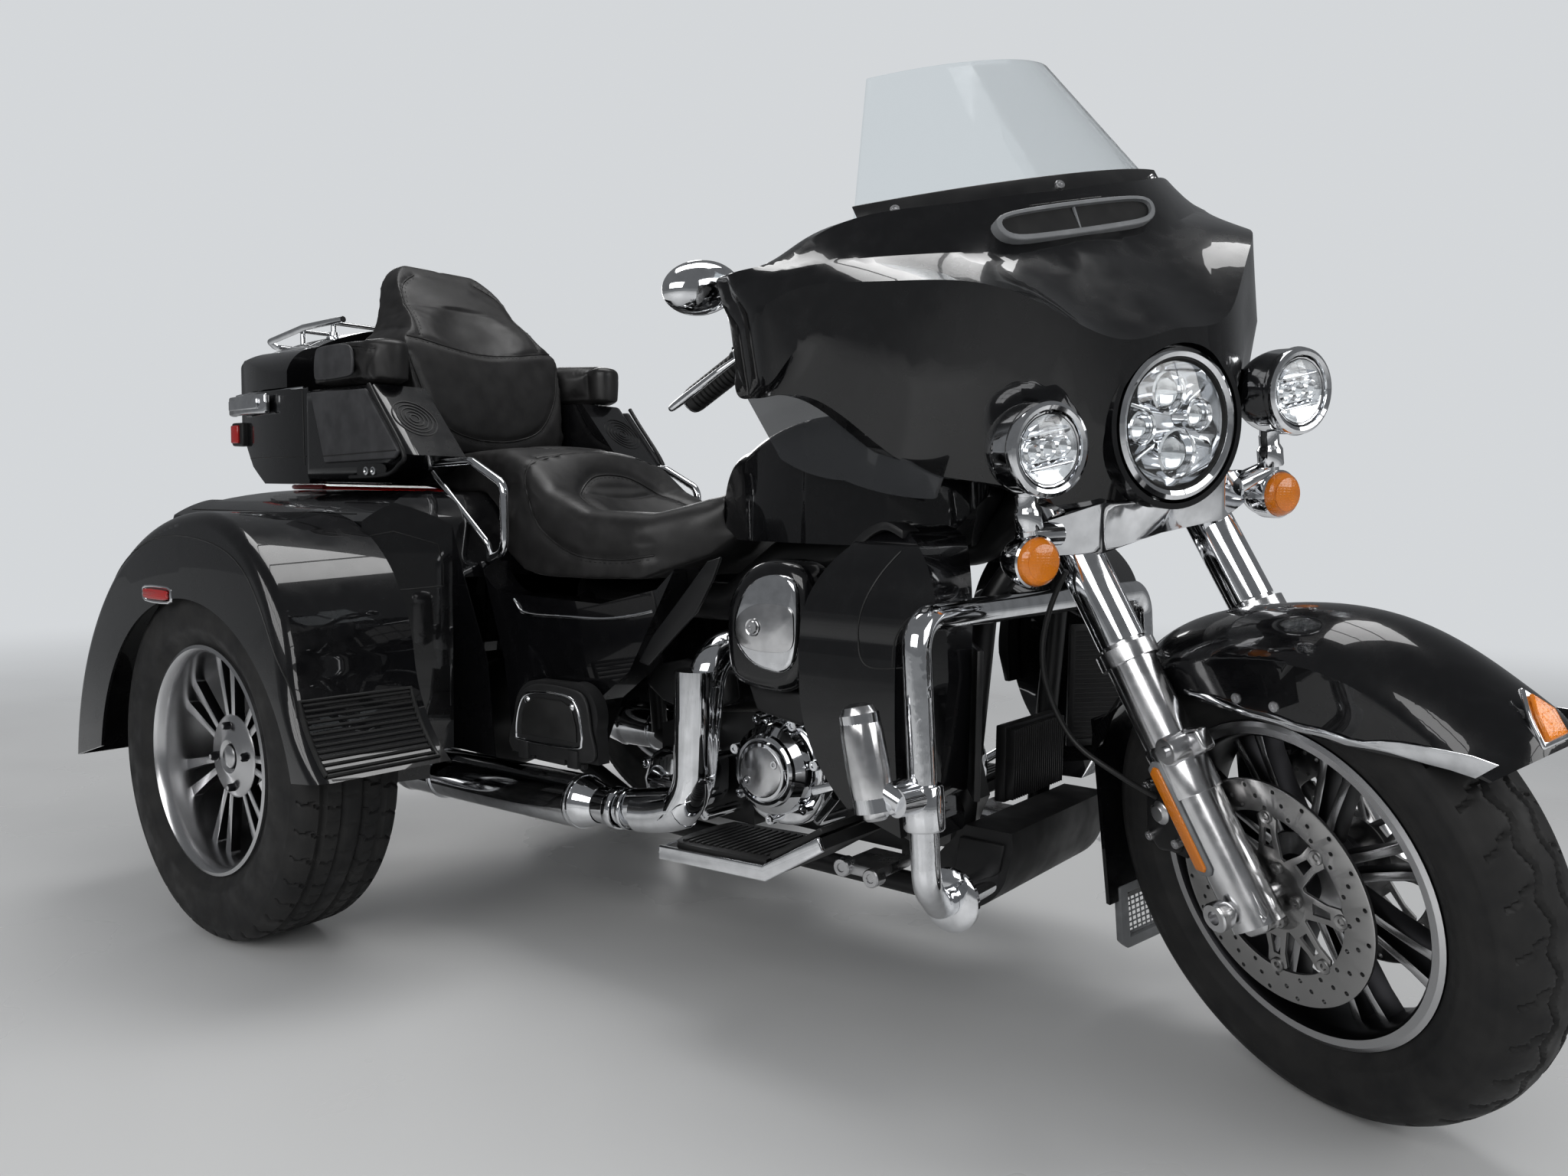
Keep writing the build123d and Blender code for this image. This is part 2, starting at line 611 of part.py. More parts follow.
line = tube((
    (1440, -165, 735), (1380, -190, 640), (1420, -190, 500), (1500, -160, 450), (1520, -120, 415)), 4, 30)
line -= lamps
line -= fork
line -= caliper
front["brake_line"] = line

for name, shape in front.items():
    made[name] = turned(shape)

for name, shape in made.items():
    box = shape.bounding_box()
    limits = [round(v) for v in (*box.min, *box.max)]
    print(name, shape.is_valid, len(shape.solids()), round(shape.volume / 1000), limits)
    export_step(Pos(frame_shift_x, 0, 0) * shape, f"parts/{name}.step")
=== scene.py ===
# %% [markdown]
# # A three-wheeled touring motorcycle
# The solid parts of the machine come from a CAD model. This script dresses them: it gives every
# solid a finish and adds the pieces that are too fine for the CAD model, such as lamps, treads,
# trims, padding and fasteners. Read it from top to bottom. Each step says what the piece is on
# the real machine and why it is made the way it is.

# %% Load the frame
import json
from math import atan, cos, floor, hypot, pi, radians, sin, tan

import bpy
from mathutils import Matrix, Vector
from mathutils.kdtree import KDTree

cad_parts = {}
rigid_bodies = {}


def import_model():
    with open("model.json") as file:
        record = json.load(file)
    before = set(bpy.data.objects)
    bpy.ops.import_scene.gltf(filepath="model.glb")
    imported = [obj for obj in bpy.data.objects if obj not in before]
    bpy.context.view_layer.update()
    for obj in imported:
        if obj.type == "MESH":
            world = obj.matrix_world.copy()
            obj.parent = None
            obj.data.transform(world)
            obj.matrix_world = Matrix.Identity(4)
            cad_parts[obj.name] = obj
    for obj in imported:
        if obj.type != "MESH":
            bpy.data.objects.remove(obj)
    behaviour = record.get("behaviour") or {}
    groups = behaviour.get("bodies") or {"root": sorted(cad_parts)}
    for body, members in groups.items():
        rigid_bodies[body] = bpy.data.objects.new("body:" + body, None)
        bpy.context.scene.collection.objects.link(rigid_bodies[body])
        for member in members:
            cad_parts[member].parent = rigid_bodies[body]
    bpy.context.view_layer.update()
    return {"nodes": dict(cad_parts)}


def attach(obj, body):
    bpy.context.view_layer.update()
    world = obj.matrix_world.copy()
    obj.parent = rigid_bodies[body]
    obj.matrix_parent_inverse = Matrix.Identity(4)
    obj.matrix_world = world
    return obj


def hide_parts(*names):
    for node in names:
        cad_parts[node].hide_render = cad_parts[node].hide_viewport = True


bpy.ops.object.select_all(action="SELECT")
bpy.ops.object.delete()
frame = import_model()

# %% [markdown]
# ## The two frames of measurement
# The machine is drawn in millimetres from the rear axle: X runs forward, Y to the rider's left
# and Z up from the ground. The front end is drawn steering straight ahead and is then turned
# about the steering axis, because the machine is parked with its handlebar turned. One matrix
# does that turn, so a lamp can be modelled straight and still sit on the turned fork.

# %% Millimetres, directions, the shift to the shared frame and the steering turn
ORIGIN = (0, 0, 0)
FORWARD, LEFT, UP = (1, 0, 0), (0, 1, 0), (0, 0, 1)
BACK, RIGHT, DOWN = (-1, 0, 0), (0, -1, 0), (0, 0, -1)
SIDES = ((-1, "right"), (1, "left"))
FRAME_SHIFT = Matrix.Translation((-0.6275, 0, 0))
STEER_FOOT = Vector((1.769, 0, 0))
RAKE = radians(26)
STEER_AXIS = Vector((-sin(RAKE), 0, cos(RAKE)))
REST_STEER = radians(-29.34)
TURN = (Matrix.Translation(STEER_FOOT) @ Matrix.Rotation(REST_STEER, 4, STEER_AXIS)
        @ Matrix.Translation(-STEER_FOOT))
WHEELBASE, FRONT_AXLE_Z = 1670, 317
REAR_WHEEL_Y, REAR_AXLE_Z = 580, 322
FORK_Y, FORK_ANGLE = 120, radians(31)


def mm(x, y, z):
    """A point in millimetres, as metres."""
    return Vector((x / 1000, y / 1000, z / 1000))


def offset_by(x, y, z):
    """The matrix that moves by some mm."""
    return Matrix.Translation(mm(x, y, z))


def fork_mm(height, y):
    """A point on the centre line of a fork leg, in millimetres."""
    return (WHEELBASE - (height - FRONT_AXLE_Z) * tan(FORK_ANGLE), y, height)


def around(x, z, radius, degrees, y=0):
    """A point on a circle about (x, z) in mm, seen from the side."""
    turn = radians(degrees)
    return (x + radius * cos(turn), y, z + radius * sin(turn))


TO_FRONT_AXLE = offset_by(WHEELBASE, 0, FRONT_AXLE_Z)
TO_RIGHT_WHEEL = offset_by(0, -REAR_WHEEL_Y, REAR_AXLE_Z)
print("steering axis", [round(v, 3) for v in STEER_AXIS])

# %% [markdown]
# ## Working in edit mode without a window
# An operator acts on whatever is selected, so each helper starts by deselecting everything.
# Merging doubles closes the seams, and recalculating the normals turns every face outwards.

# %% Selecting, editing and modifiers
MERGE_DISTANCE = 0.00002


def clear():
    """Back to object mode with nothing selected."""
    if bpy.context.object and bpy.context.object.mode != "OBJECT":
        bpy.ops.object.mode_set(mode="OBJECT")
    bpy.ops.object.select_all(action="DESELECT")


def only(obj):
    """Select one object and make it active."""
    clear()
    obj.select_set(True)
    bpy.context.view_layer.objects.active = obj
    return obj


def edit(obj, kind, whole=True):
    """Edit mode with everything or nothing selected."""
    only(obj)
    bpy.ops.object.mode_set(mode="EDIT")
    bpy.ops.mesh.select_mode(type=kind)
    bpy.ops.mesh.select_all(action="SELECT" if whole else "DESELECT")


def outward(obj):
    """Merge doubles and point every face outwards."""
    edit(obj, "VERT")
    bpy.ops.mesh.remove_doubles(threshold=MERGE_DISTANCE)
    bpy.ops.mesh.normals_make_consistent(inside=False)
    clear()
    return obj


def added(name, data):
    """A new object in the scene."""
    obj = bpy.data.objects.new(name, data)
    bpy.context.scene.collection.objects.link(obj)
    return obj


def discard(obj):
    """Remove a helper object."""
    bpy.data.objects.remove(obj, do_unlink=True)


def modified(obj, kind, **values):
    """Add a modifier with these values and apply it."""
    only(obj)
    modifier = obj.modifiers.new(kind.lower(), kind)
    for key, value in values.items():
        setattr(modifier, key, value)
    bpy.ops.object.modifier_apply(modifier=modifier.name)
    return obj


def bevelled(obj, width, segments=2):
    """Round the sharp edges."""
    return modified(obj, "BEVEL", width=width / 1000, segments=segments, limit_method="ANGLE",
        angle_limit=radians(35))


print("selection helpers ready")

# %% [markdown]
# `draw` makes a line of vertices: it collapses a small plane to one vertex and extrudes that
# vertex from point to point, as you would with the E key. A face filled into the line and
# extruded gives a plate. Most covers are flat plates seen from the side, so `side_plate` takes
# their outline in X and Z.

# %% Lines and plates
def draw(name, points):
    """A line of vertices through points given in mm."""
    places = [mm(*p) for p in points]
    clear()
    bpy.ops.mesh.primitive_plane_add(size=0.01, location=places[0])
    obj = bpy.context.object
    obj.name = name
    bpy.ops.object.transform_apply()
    bpy.ops.object.mode_set(mode="EDIT")
    bpy.ops.mesh.merge(type="CENTER")
    bpy.ops.mesh.select_mode(type="VERT")
    for here, there in zip(places, places[1:]):
        bpy.ops.mesh.extrude_region_move(TRANSFORM_OT_translate={"value": there - here})
    return obj


def eased(points, per=6, closed=False):
    """A smooth line through points, by the Catmull-Rom rule."""
    spots = [Vector(p) for p in points]
    around_them = [spots[-1]] + spots + spots[:2] if closed else [spots[0]] + spots + [spots[-1]]
    line = []
    for a, b, c, d in zip(around_them, around_them[1:], around_them[2:], around_them[3:]):
        for step in range(per):
            t = step / per
            line.append(0.5 * ((2 * b) + (c - a) * t + (2 * a - 5 * b + 4 * c - d) * t * t
                               + (3 * b - a - 3 * c + d) * t ** 3))
    return line + [line[0] if closed else spots[-1]]


def plate(name, points, along, bevel=0, segments=2):
    """A flat outline filled and extruded along a vector in mm, its edges rounded."""
    obj = draw(name, points)
    bpy.ops.mesh.select_all(action="SELECT")
    bpy.ops.mesh.edge_face_add()
    bpy.ops.mesh.extrude_region_move(TRANSFORM_OT_translate={"value": mm(*along)})
    outward(obj)
    return bevelled(obj, bevel, segments) if bevel else obj


def side_plate(name, y, thick, outline, bevel=0, segments=2, ease=0):
    """A plate with its outline in (x, z) at one y, thick along Y; ease rounds the outline."""
    points = [(x, y, z) for x, z in outline]
    if ease:
        points = eased(points, ease, True)[:-1]
    return plate(name, points, (0, thick, 0), bevel, segments)


print("plate helpers ready")

# %% [markdown]
# Spun round an axis, such a line gives a turned part, and as a bevelled curve it gives a pipe.

# %% Turned parts, pipes and boxes
def turned(name, profile, centre=ORIGIN, axis=LEFT, steps=48):
    """A profile of (radius, height along the axis) in mm, spun round an axis through centre."""
    across = Vector(UP) if abs(axis[2]) < 0.5 else Vector(FORWARD)
    along = Vector(axis).normalized()
    across = (across - along * across.dot(along)).normalized()
    middle = Vector(centre)
    obj = draw(name, [middle + across * r + along * h for r, h in profile])
    bpy.ops.mesh.select_all(action="SELECT")
    bpy.ops.mesh.spin(steps=steps, angle=2 * pi, center=middle / 1000, axis=along)
    return outward(obj)


def pipe(name, points, radius, bend=0, sides=3):
    """A round bar through points in mm; its corners are rounded by a vertex bevel first."""
    obj = draw(name, points)
    if bend:
        bpy.ops.mesh.select_all(action="SELECT")
        bpy.ops.mesh.bevel(offset=bend / 1000, segments=5, affect="VERTICES")
    only(obj)
    bpy.ops.object.convert(target="CURVE")
    line = bpy.context.object
    line.data.bevel_depth = radius / 1000
    line.data.bevel_resolution = sides
    line.data.use_fill_caps = True
    bpy.ops.object.convert(target="MESH")
    return outward(bpy.context.object)


def screw_at(centre, way, size=7.0, high=3.0, deep=5.0):
    """A round head with a socket in it, standing on a surface at centre."""
    return turned("screw", ((0, high - 2), (size * 0.42, high - 2), (size * 0.5, high), (size * 0.88, high),
        (size, high - 1.5), (size, -deep), (0, -deep)), centre, way, 16)


def brick(name, low, high, bevel=2, segments=2):
    """A box between two corners in mm with rounded edges."""
    clear()
    low, high = Vector(low), Vector(high)
    bpy.ops.mesh.primitive_cube_add(size=1, location=(low + high) / 2000, scale=(high - low) / 1000)
    obj = bpy.context.object
    obj.name = name
    bpy.ops.object.transform_apply()
    return bevelled(obj, bevel, segments)


print("drawing helpers ready")

# %% [markdown]
# A piece is moved by its mesh, so that its object stays at the origin. Right-hand pieces are
# mirrored for the left, and what repeats is modelled once and copied round an axis or along a
# row. A Boolean takes one closed mesh out of another.

# %% Moving, copying, joining and cutting
def moved(obj, matrix):
    """Move the mesh itself, so that the object stays at the origin."""
    only(obj)
    obj.matrix_world = matrix @ obj.matrix_world
    bpy.ops.object.transform_apply()
    if matrix.determinant() < 0:
        outward(obj)
    return obj


def spun(obj, degrees, centre=ORIGIN, axis=LEFT):
    """Turn a mesh about an axis through a point in mm."""
    middle = offset_by(*centre)
    turn = middle @ Matrix.Rotation(radians(degrees), 4, Vector(axis)) @ middle.inverted()
    return moved(obj, turn)


def copied(obj, name):
    """A copy with a mesh of its own."""
    only(obj)
    bpy.ops.object.duplicate()
    twin = bpy.context.object
    twin.name = name
    return twin


def mirrored(obj, name):
    """A copy on the other side of the machine."""
    return moved(copied(obj, name), Matrix.Scale(-1, 4, LEFT))


def joined(name, pieces):
    """Several meshes as one piece."""
    clear()
    for piece in pieces:
        piece.select_set(True)
    bpy.context.view_layer.objects.active = pieces[0]
    if len(pieces) > 1:
        bpy.ops.object.join()
    bpy.context.object.name = name
    return bpy.context.object


def repeated(obj, name, count):
    """Copies turned evenly round the Y axis, joined into one piece."""
    pieces = [obj]
    for number in range(1, count):
        pieces.append(spun(copied(obj, name), 360 * number / count))
    return joined(name, pieces)


def row_of(obj, name, count, step):
    """Copies shifted by a step in mm, joined into one piece."""
    pieces = [obj]
    for number in range(1, count):
        pieces.append(moved(copied(obj, name), Matrix.Translation(mm(*step) * number)))
    return joined(name, pieces)


def cut(obj, tool):
    """Take one closed mesh out of another."""
    modified(obj, "BOOLEAN", object=tool, solver="EXACT")
    discard(tool)
    return obj


print("copying helpers ready")

# %% [markdown]
# Ribs, welts and the dark cords of painted shade in panel gaps follow surfaces that come from the CAD model.
# `dropped` lays a line on such a surface: it sends a ray from each point of the line and keeps the places that
# it hits.

# %% Lines laid on a surface
RAY_START = 0.6


def solid_copy(node_name, name, front=False):
    """A copy of a CAD solid to carve, its triangles joined, back in the drawing's frame."""
    obj = added(name, bpy.data.objects[node_name].data.copy())
    outward(obj)
    return moved(obj, (FRAME_SHIFT @ TURN if front else FRAME_SHIFT).inverted())


def dropped(obj, points, toward, step=8.0, lift=0.0):
    """A line in mm laid on a piece: spread into steps, then dropped along a direction."""
    spots = []
    for here, there in zip(points, points[1:]):
        here, there = Vector(here), Vector(there)
        count = max(int((there - here).length / step), 1)
        spots += [here.lerp(there, n / count) for n in range(count)]
    spots.append(Vector(points[-1]))
    bpy.context.view_layer.update()
    way = Vector(toward).normalized()
    found = []
    for spot in spots:
        hit, at, normal, _ = obj.ray_cast(spot / 1000 - way * RAY_START, way)
        if hit:
            found.append(at * 1000 + normal * lift)
    return found


def seam(obj, points, toward):
    """A thin dark cord bedded in a surface under a line: painted shade of the gap between two panels, laid on
    instead of a cut groove.
    """
    return pipe("gap", dropped(obj, points, toward), 1.3, sides=1)


print("surface helpers ready")

# %% [markdown]
# A finished piece gets its finish and rides on one of the machine's moving bodies.


def place(obj, finish, body="trike", smooth=40):
    """Move a finished piece to the shared frame, give it its finish and let it ride on a body."""
    front = body in ("steering", "front_wheel_body")
    moved(obj, FRAME_SHIFT @ TURN if front else FRAME_SHIFT)
    only(obj)
    bpy.ops.object.shade_smooth_by_angle(angle=radians(smooth))
    obj.data.materials.clear()
    obj.data.materials.append(finish)
    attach(obj, body)
    return obj


def place_pair(obj, finish, body="trike", smooth=40):
    """Place a right-hand piece and its mirror image; the name ends in _right."""
    twin = mirrored(obj, obj.name.replace("_right", "_left"))
    place(twin, finish, body.replace("_right", "_left"), smooth)
    return place(obj, finish, body, smooth), twin


def replace_pair(pair, node_name):
    """A right-hand piece and its twin replace their solids; node_name ends in _right."""
    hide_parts(node_name)
    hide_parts(node_name.replace("_right", "_left"))


print("place helpers ready")

# %% [markdown]
# ## Finishes
# Each finish is a node material. The colours and the constants sit on the shader's own sockets.

# %% A starter for node materials
def finish_of(name, colour, rough, metal=0.0, **sockets):
    """A Principled material with constants on its own sockets."""
    made = bpy.data.materials.new(name)
    made.use_nodes = True
    shader = made.node_tree.nodes["Principled BSDF"]
    shader.inputs["Base Color"].default_value = (*colour, 1)
    shader.inputs["Roughness"].default_value = rough
    shader.inputs["Metallic"].default_value = metal
    for socket, value in sockets.items():
        shader.inputs[socket.replace("_", " ")].default_value = value
    return made


def node(made, kind, **values):
    """Add a node; a value named after a property or a socket is set on it."""
    new = made.node_tree.nodes.new("ShaderNode" + kind)
    for key, value in values.items():
        if hasattr(new, key):
            setattr(new, key, value)
        else:
            new.inputs[key.replace("_", " ")].default_value = value
    return new


def wire(made, source, target):
    """Link two sockets."""
    made.node_tree.links.new(source, target)


def worked(made, kind, operation, *values):
    """The output of a Math or VectorMath node; each value is a number or another's output."""
    new = node(made, kind, operation=operation)
    for target, value in zip(new.inputs, values):
        if isinstance(value, bpy.types.NodeSocket):
            wire(made, value, target)
        else:
            target.default_value = value
    return new.outputs["Value"]


def shader_of(made):
    return made.node_tree.nodes["Principled BSDF"]


print("node helpers ready")

# %% [markdown]
# Noise nodes feed only the roughness, the bump and small changes of colour, and they read
# Object coordinates, so a pattern stays on the piece when the machine moves.

# %% Patterns in roughness, colour and relief
def place_on(made, centre=ORIGIN, front=False):
    """Object coordinates, centred on a point in mm and turned with the front end if need be."""
    coordinates = node(made, "TexCoord")
    mapping = node(made, "Mapping", vector_type="POINT")
    if front:
        back = (FRAME_SHIFT @ TURN).inverted()
        mapping.inputs["Rotation"].default_value = back.to_euler()
        mapping.inputs["Location"].default_value = back.translation - mm(*centre)
    else:
        mapping.inputs["Location"].default_value = -(FRAME_SHIFT @ mm(*centre))
    wire(made, coordinates.outputs["Object"], mapping.inputs["Vector"])
    return mapping.outputs["Vector"]


def noise_on(made, scale, detail=3.0):
    """A noise texture on Object coordinates."""
    noise = node(made, "TexNoise", Scale=scale, Detail=detail)
    wire(made, place_on(made), noise.inputs["Vector"])
    return noise.outputs["Fac"]


def vary_roughness(made, source, low, high, start=0.35, end=0.65):
    """Let a pattern move the roughness between two values."""
    spread = node(made, "MapRange", From_Min=start, From_Max=end, To_Min=low, To_Max=high)
    wire(made, source, spread.inputs["Value"])
    wire(made, spread.outputs["Result"], shader_of(made).inputs["Roughness"])


def vary_colour(made, source, dark, light, start=0.35, end=0.65):
    """Let a pattern move the colour between two colours."""
    ramp = node(made, "ValToRGB")
    for stop, position, colour in zip(ramp.color_ramp.elements, (start, end), (dark, light)):
        stop.position = position
        stop.color = (*colour, 1)
    wire(made, source, ramp.inputs["Fac"])
    wire(made, ramp.outputs["Color"], shader_of(made).inputs["Base Color"])


def add_bump(made, source, height, strength=1.0):
    """Turn a pattern into relief; a second bump is stacked on the first."""
    target = shader_of(made).inputs["Normal"]
    bump = node(made, "Bump", Strength=strength, Distance=height / 1000)
    if target.is_linked:
        wire(made, target.links[0].from_socket, bump.inputs["Normal"])
    wire(made, source, bump.inputs["Height"])
    wire(made, bump.outputs["Normal"], target)


print("material helpers ready")

# %% [markdown]
# Gloss black paint on a motorcycle is a black base under a thick clear coat. The coat gives the
# sharp reflection. A very weak bump over a few centimetres makes the reflections swim a little,
# as they do on real pressed metal, and a fine dust lightens the base where it settles.

# %% Paint, plastic and powder coat
def paint(name, colour=(0.003, 0.003, 0.0035)):
    made = finish_of(name, colour, 0.22, Specular_IOR_Level=0.15, Coat_Weight=1.0, Coat_Roughness=0.02,
        Coat_IOR=1.5)
    add_bump(made, noise_on(made, 9, 1.0), 0.6, 0.25)
    add_bump(made, noise_on(made, 900, 1.0), 0.02, 0.12)
    dust = noise_on(made, 60, 6.0)
    vary_colour(made, dust, colour, tuple(c * 1.6 + 0.001 for c in colour), 0.5, 0.9)
    vary_roughness(made, noise_on(made, 25, 5.0), 0.16, 0.3)
    return made


def textured(name, colour, rough, grain=500, height=0.12, spread=0.08):
    """Moulded plastic or powder coat with a fine grain and slight wear."""
    made = finish_of(name, colour, rough, Specular_IOR_Level=0.35)
    add_bump(made, noise_on(made, grain, 2.0), height, 0.6)
    vary_roughness(made, noise_on(made, 18, 5.0), rough - spread, rough + spread)
    wear = noise_on(made, 35, 7.0)
    vary_colour(made, wear, colour, tuple(c * 1.5 + 0.002 for c in colour), 0.5, 0.9)
    return made


black_paint = paint("gloss_black_paint")
satin_black = textured("satin_black_powder_coat", (0.008, 0.008, 0.0085), 0.38, 700, 0.06)
black_plastic = textured("grained_black_plastic", (0.011, 0.011, 0.0115), 0.52, 520, 0.16)
soft_grey = textured("grey_moulded_plastic", (0.16, 0.165, 0.17), 0.45, 480, 0.1)
# A dull black with a faint grain, for painted shade in a narrow gap.
gap_shade_black = finish_of("dark_gap", (0.003, 0.003, 0.003), 0.7)
add_bump(gap_shade_black, noise_on(gap_shade_black, 600), 0.05)
vary_roughness(gap_shade_black, noise_on(gap_shade_black, 40), 0.55, 0.8)
print("paints ready")

# %% [markdown]
# Chrome is a nearly perfect mirror. What makes it look real is a faint unevenness: polishing
# leaves broad waves, and fingers and dust dull it in patches. Cast and polished aluminium is
# rougher, and turned aluminium carries fine circular scratches from the lathe.

# %% Metals
def metal(name, colour, rough, spread, wave=0.25, grain=None, dark=None):
    made = finish_of(name, colour, rough, 1.0)
    vary_roughness(made, noise_on(made, 30, 6.0), max(rough - spread, 0.02), rough + spread)
    add_bump(made, noise_on(made, 14, 1.0), wave, 0.25)
    if grain:
        add_bump(made, noise_on(made, grain, 2.0), 0.03, 0.4)
    smudge = noise_on(made, 45, 8.0)
    vary_colour(made, smudge, dark or tuple(c * 0.82 for c in colour), colour, 0.3, 0.6)
    return made


chrome = metal("polished_chrome", (0.86, 0.87, 0.89), 0.06, 0.035)
aluminium = metal("polished_aluminium", (0.76, 0.76, 0.77), 0.2, 0.06, 0.2, 900)
steel = metal("zinc_plated_steel", (0.62, 0.62, 0.63), 0.3, 0.08, 0.1, 800)
LATHE_MARKS = 2600


def machined(name, axle, centre, front, bright=(0.62, 0.62, 0.63), dark=(0.022, 0.022, 0.024), dish=1.0):
    """Black casting, turned bright where it looks along the axle, and farther out than dish."""
    made = finish_of(name, bright, 0.28, 1.0)
    parts = node(made, "SeparateXYZ")
    wire(made, place_on(made, centre, front), parts.inputs["Vector"])
    flat = node(made, "CombineXYZ")
    wire(made, parts.outputs["X"], flat.inputs["X"])
    wire(made, parts.outputs["Z"], flat.inputs["Y"])
    radius = worked(made, "VectorMath", "LENGTH", flat.outputs["Vector"])
    outside = worked(made, "Math", "GREATER_THAN", radius, dish)
    normal = node(made, "TexCoord").outputs["Normal"]
    facing = worked(made, "Math", "ABSOLUTE", worked(made, "VectorMath", "DOT_PRODUCT", normal, axle))
    bare = worked(made, "Math", "MAXIMUM", facing, outside)
    vary_colour(made, bare, dark, bright, 0.78, 0.84)
    vary_roughness(made, bare, 0.42, 0.24, 0.78, 0.84)
    turns = node(made, "TexNoise", noise_dimensions="1D", Scale=1.0, Detail=3.0)
    wire(made, worked(made, "Math", "MULTIPLY", radius, LATHE_MARKS), turns.inputs["W"])
    add_bump(made, turns.outputs["Fac"], 0.03, 0.5)
    return made


FRONT_AXLE = TURN.to_3x3() @ Vector(LEFT)
front_machined = machined("machined_front_wheel", FRONT_AXLE, (WHEELBASE, 0, FRONT_AXLE_Z), True)
rear_machined = machined("machined_rear_wheel", LEFT, (0, 0, REAR_AXLE_Z), False, dish=0.18)
disc_metal = machined("ground_brake_disc", FRONT_AXLE, (WHEELBASE, 0, FRONT_AXLE_Z), True, (0.46, 0.455, 0.45),
    (0.2, 0.2, 0.2))
print("metals ready")

# %% [markdown]
# Tire rubber is a dark grey with a soft sheen, greyer on the tread where it has rolled. Vinyl
# for a seat has a pebbled grain: cells of a Voronoi texture make the pebbles, and a wider noise
# makes the wrinkles that sitting leaves. Lenses are clear or coloured glass.

# %% Rubber, leather and glass
tire_rubber = finish_of("tire_rubber", (0.012, 0.012, 0.0125), 0.62, Specular_IOR_Level=0.3)
vary_roughness(tire_rubber, noise_on(tire_rubber, 25, 6.0), 0.5, 0.75)
vary_colour(tire_rubber, noise_on(tire_rubber, 18, 8.0), (0.01, 0.01, 0.0105), (0.019, 0.0185, 0.018))
add_bump(tire_rubber, noise_on(tire_rubber, 450, 3.0), 0.08, 0.6)

hose_rubber = textured("hose_rubber", (0.012, 0.012, 0.012), 0.42, 800, 0.05)


def vinyl(name, colour, rough=0.42):
    made = finish_of(name, colour, rough, Specular_IOR_Level=0.4)
    pebbles = node(made, "TexVoronoi", Scale=620.0, feature="SMOOTH_F1")
    wire(made, place_on(made), pebbles.inputs["Vector"])
    add_bump(made, pebbles.outputs["Distance"], 0.14, 0.55)
    add_bump(made, noise_on(made, 22, 3.0), 1.2, 0.22)
    vary_roughness(made, noise_on(made, 14, 5.0), rough - 0.08, rough + 0.1)
    vary_colour(made, noise_on(made, 30, 6.0), colour, tuple(c * 1.5 + 0.003 for c in colour))
    return made


seat_vinyl = vinyl("seat_vinyl", (0.010, 0.0095, 0.0095))
cap_vinyl = vinyl("armrest_cap_vinyl", (0.03, 0.03, 0.032), 0.46)
thread = textured("waxed_thread", (0.012, 0.012, 0.012), 0.6, 1500, 0.05)


def glass(name, colour, rough=0.02, alpha=1.0):
    made = finish_of(name, colour, rough, Transmission_Weight=1.0, IOR=1.45, Alpha=alpha)
    vary_roughness(made, noise_on(made, 35, 6.0), rough, rough + 0.05)
    return made


clear_lens = glass("clear_lens", (0.97, 0.98, 0.98))
amber_lens = finish_of("amber_lens", (0.9, 0.26, 0.015), 0.12, Transmission_Weight=0.35, IOR=1.5,
    Coat_Weight=0.6, Coat_Roughness=0.04)
red_lens = finish_of("red_lens", (0.5, 0.012, 0.01), 0.12, Transmission_Weight=0.25, IOR=1.5, Coat_Weight=0.6,
    Coat_Roughness=0.04)
for lens, cells in ((amber_lens, 260.0), (red_lens, 300.0)):
    prisms = node(lens, "TexVoronoi", Scale=cells, distance="CHEBYCHEV", Randomness=0.0)
    wire(lens, place_on(lens), prisms.inputs["Vector"])
    add_bump(lens, prisms.outputs["Distance"], 0.8, 0.7)
    vary_roughness(lens, noise_on(lens, 40), 0.08, 0.2)
windshield_clear = finish_of("clear_polycarbonate", (0.86, 0.91, 0.93), 0.02, IOR=1.3, Transmission_Weight=1.0,
    Alpha=0.8)
vary_roughness(windshield_clear, noise_on(windshield_clear, 20, 6.0), 0.02, 0.1)
smoked_clear = finish_of("smoked_polycarbonate", (0.05, 0.052, 0.055), 0.06, IOR=1.3, Alpha=0.66,
    Coat_Weight=0.5, Coat_Roughness=0.03)
vary_roughness(smoked_clear, noise_on(smoked_clear, 25, 5.0), 0.05, 0.14)
mirror_glass = metal("mirror_glass", (0.92, 0.93, 0.94), 0.02, 0.01, 0.02)
dial_dark = textured("dial_face", (0.02, 0.02, 0.022), 0.35, 300, 0.02)
dial_mark = textured("dial_marks", (0.7, 0.7, 0.68), 0.4, 900, 0.01)
print("rubber, vinyl and glass ready")

# %% [markdown]
# ## Dressing the CAD solids
# A CAD solid whose shape is right keeps its mesh and only gets a finish. The table says which
# finish each solid takes.

# %% Finishes of the CAD solids
NODE_FINISH = {
    black_paint: "fuel_tank rear_body fender_right fender_left side_cover_right side_cover_left "
                 "luggage_box luggage_lid trunk_door lower_fairing_right lower_fairing_left "
                 "fairing front_fender",
    satin_black: "frame engine_case cylinder_front cylinder_rear rear_axle caliper_right caliper_left",
    black_plastic: "lower_cover footboard_right footboard_left passenger_board_right "
                   "passenger_board_left instrument_panel",
    chrome: "cam_cover air_cleaner exhaust_right exhaust_left rail_right rail_left engine_guard "
            "luggage_rack lamp_bar handlebar mirror_right mirror_left headlight",
    aluminium: "fork",
    front_machined: "front_wheel",
    rear_machined: "rear_wheel_right rear_wheel_left",
    tire_rubber: "front_tire rear_tire_right rear_tire_left",
    windshield_clear: "windshield",
    smoked_clear: "wind_deflector_right wind_deflector_left",
    hose_rubber: "brake_line",
    seat_vinyl: "seat backrest armrest_right armrest_left",
}


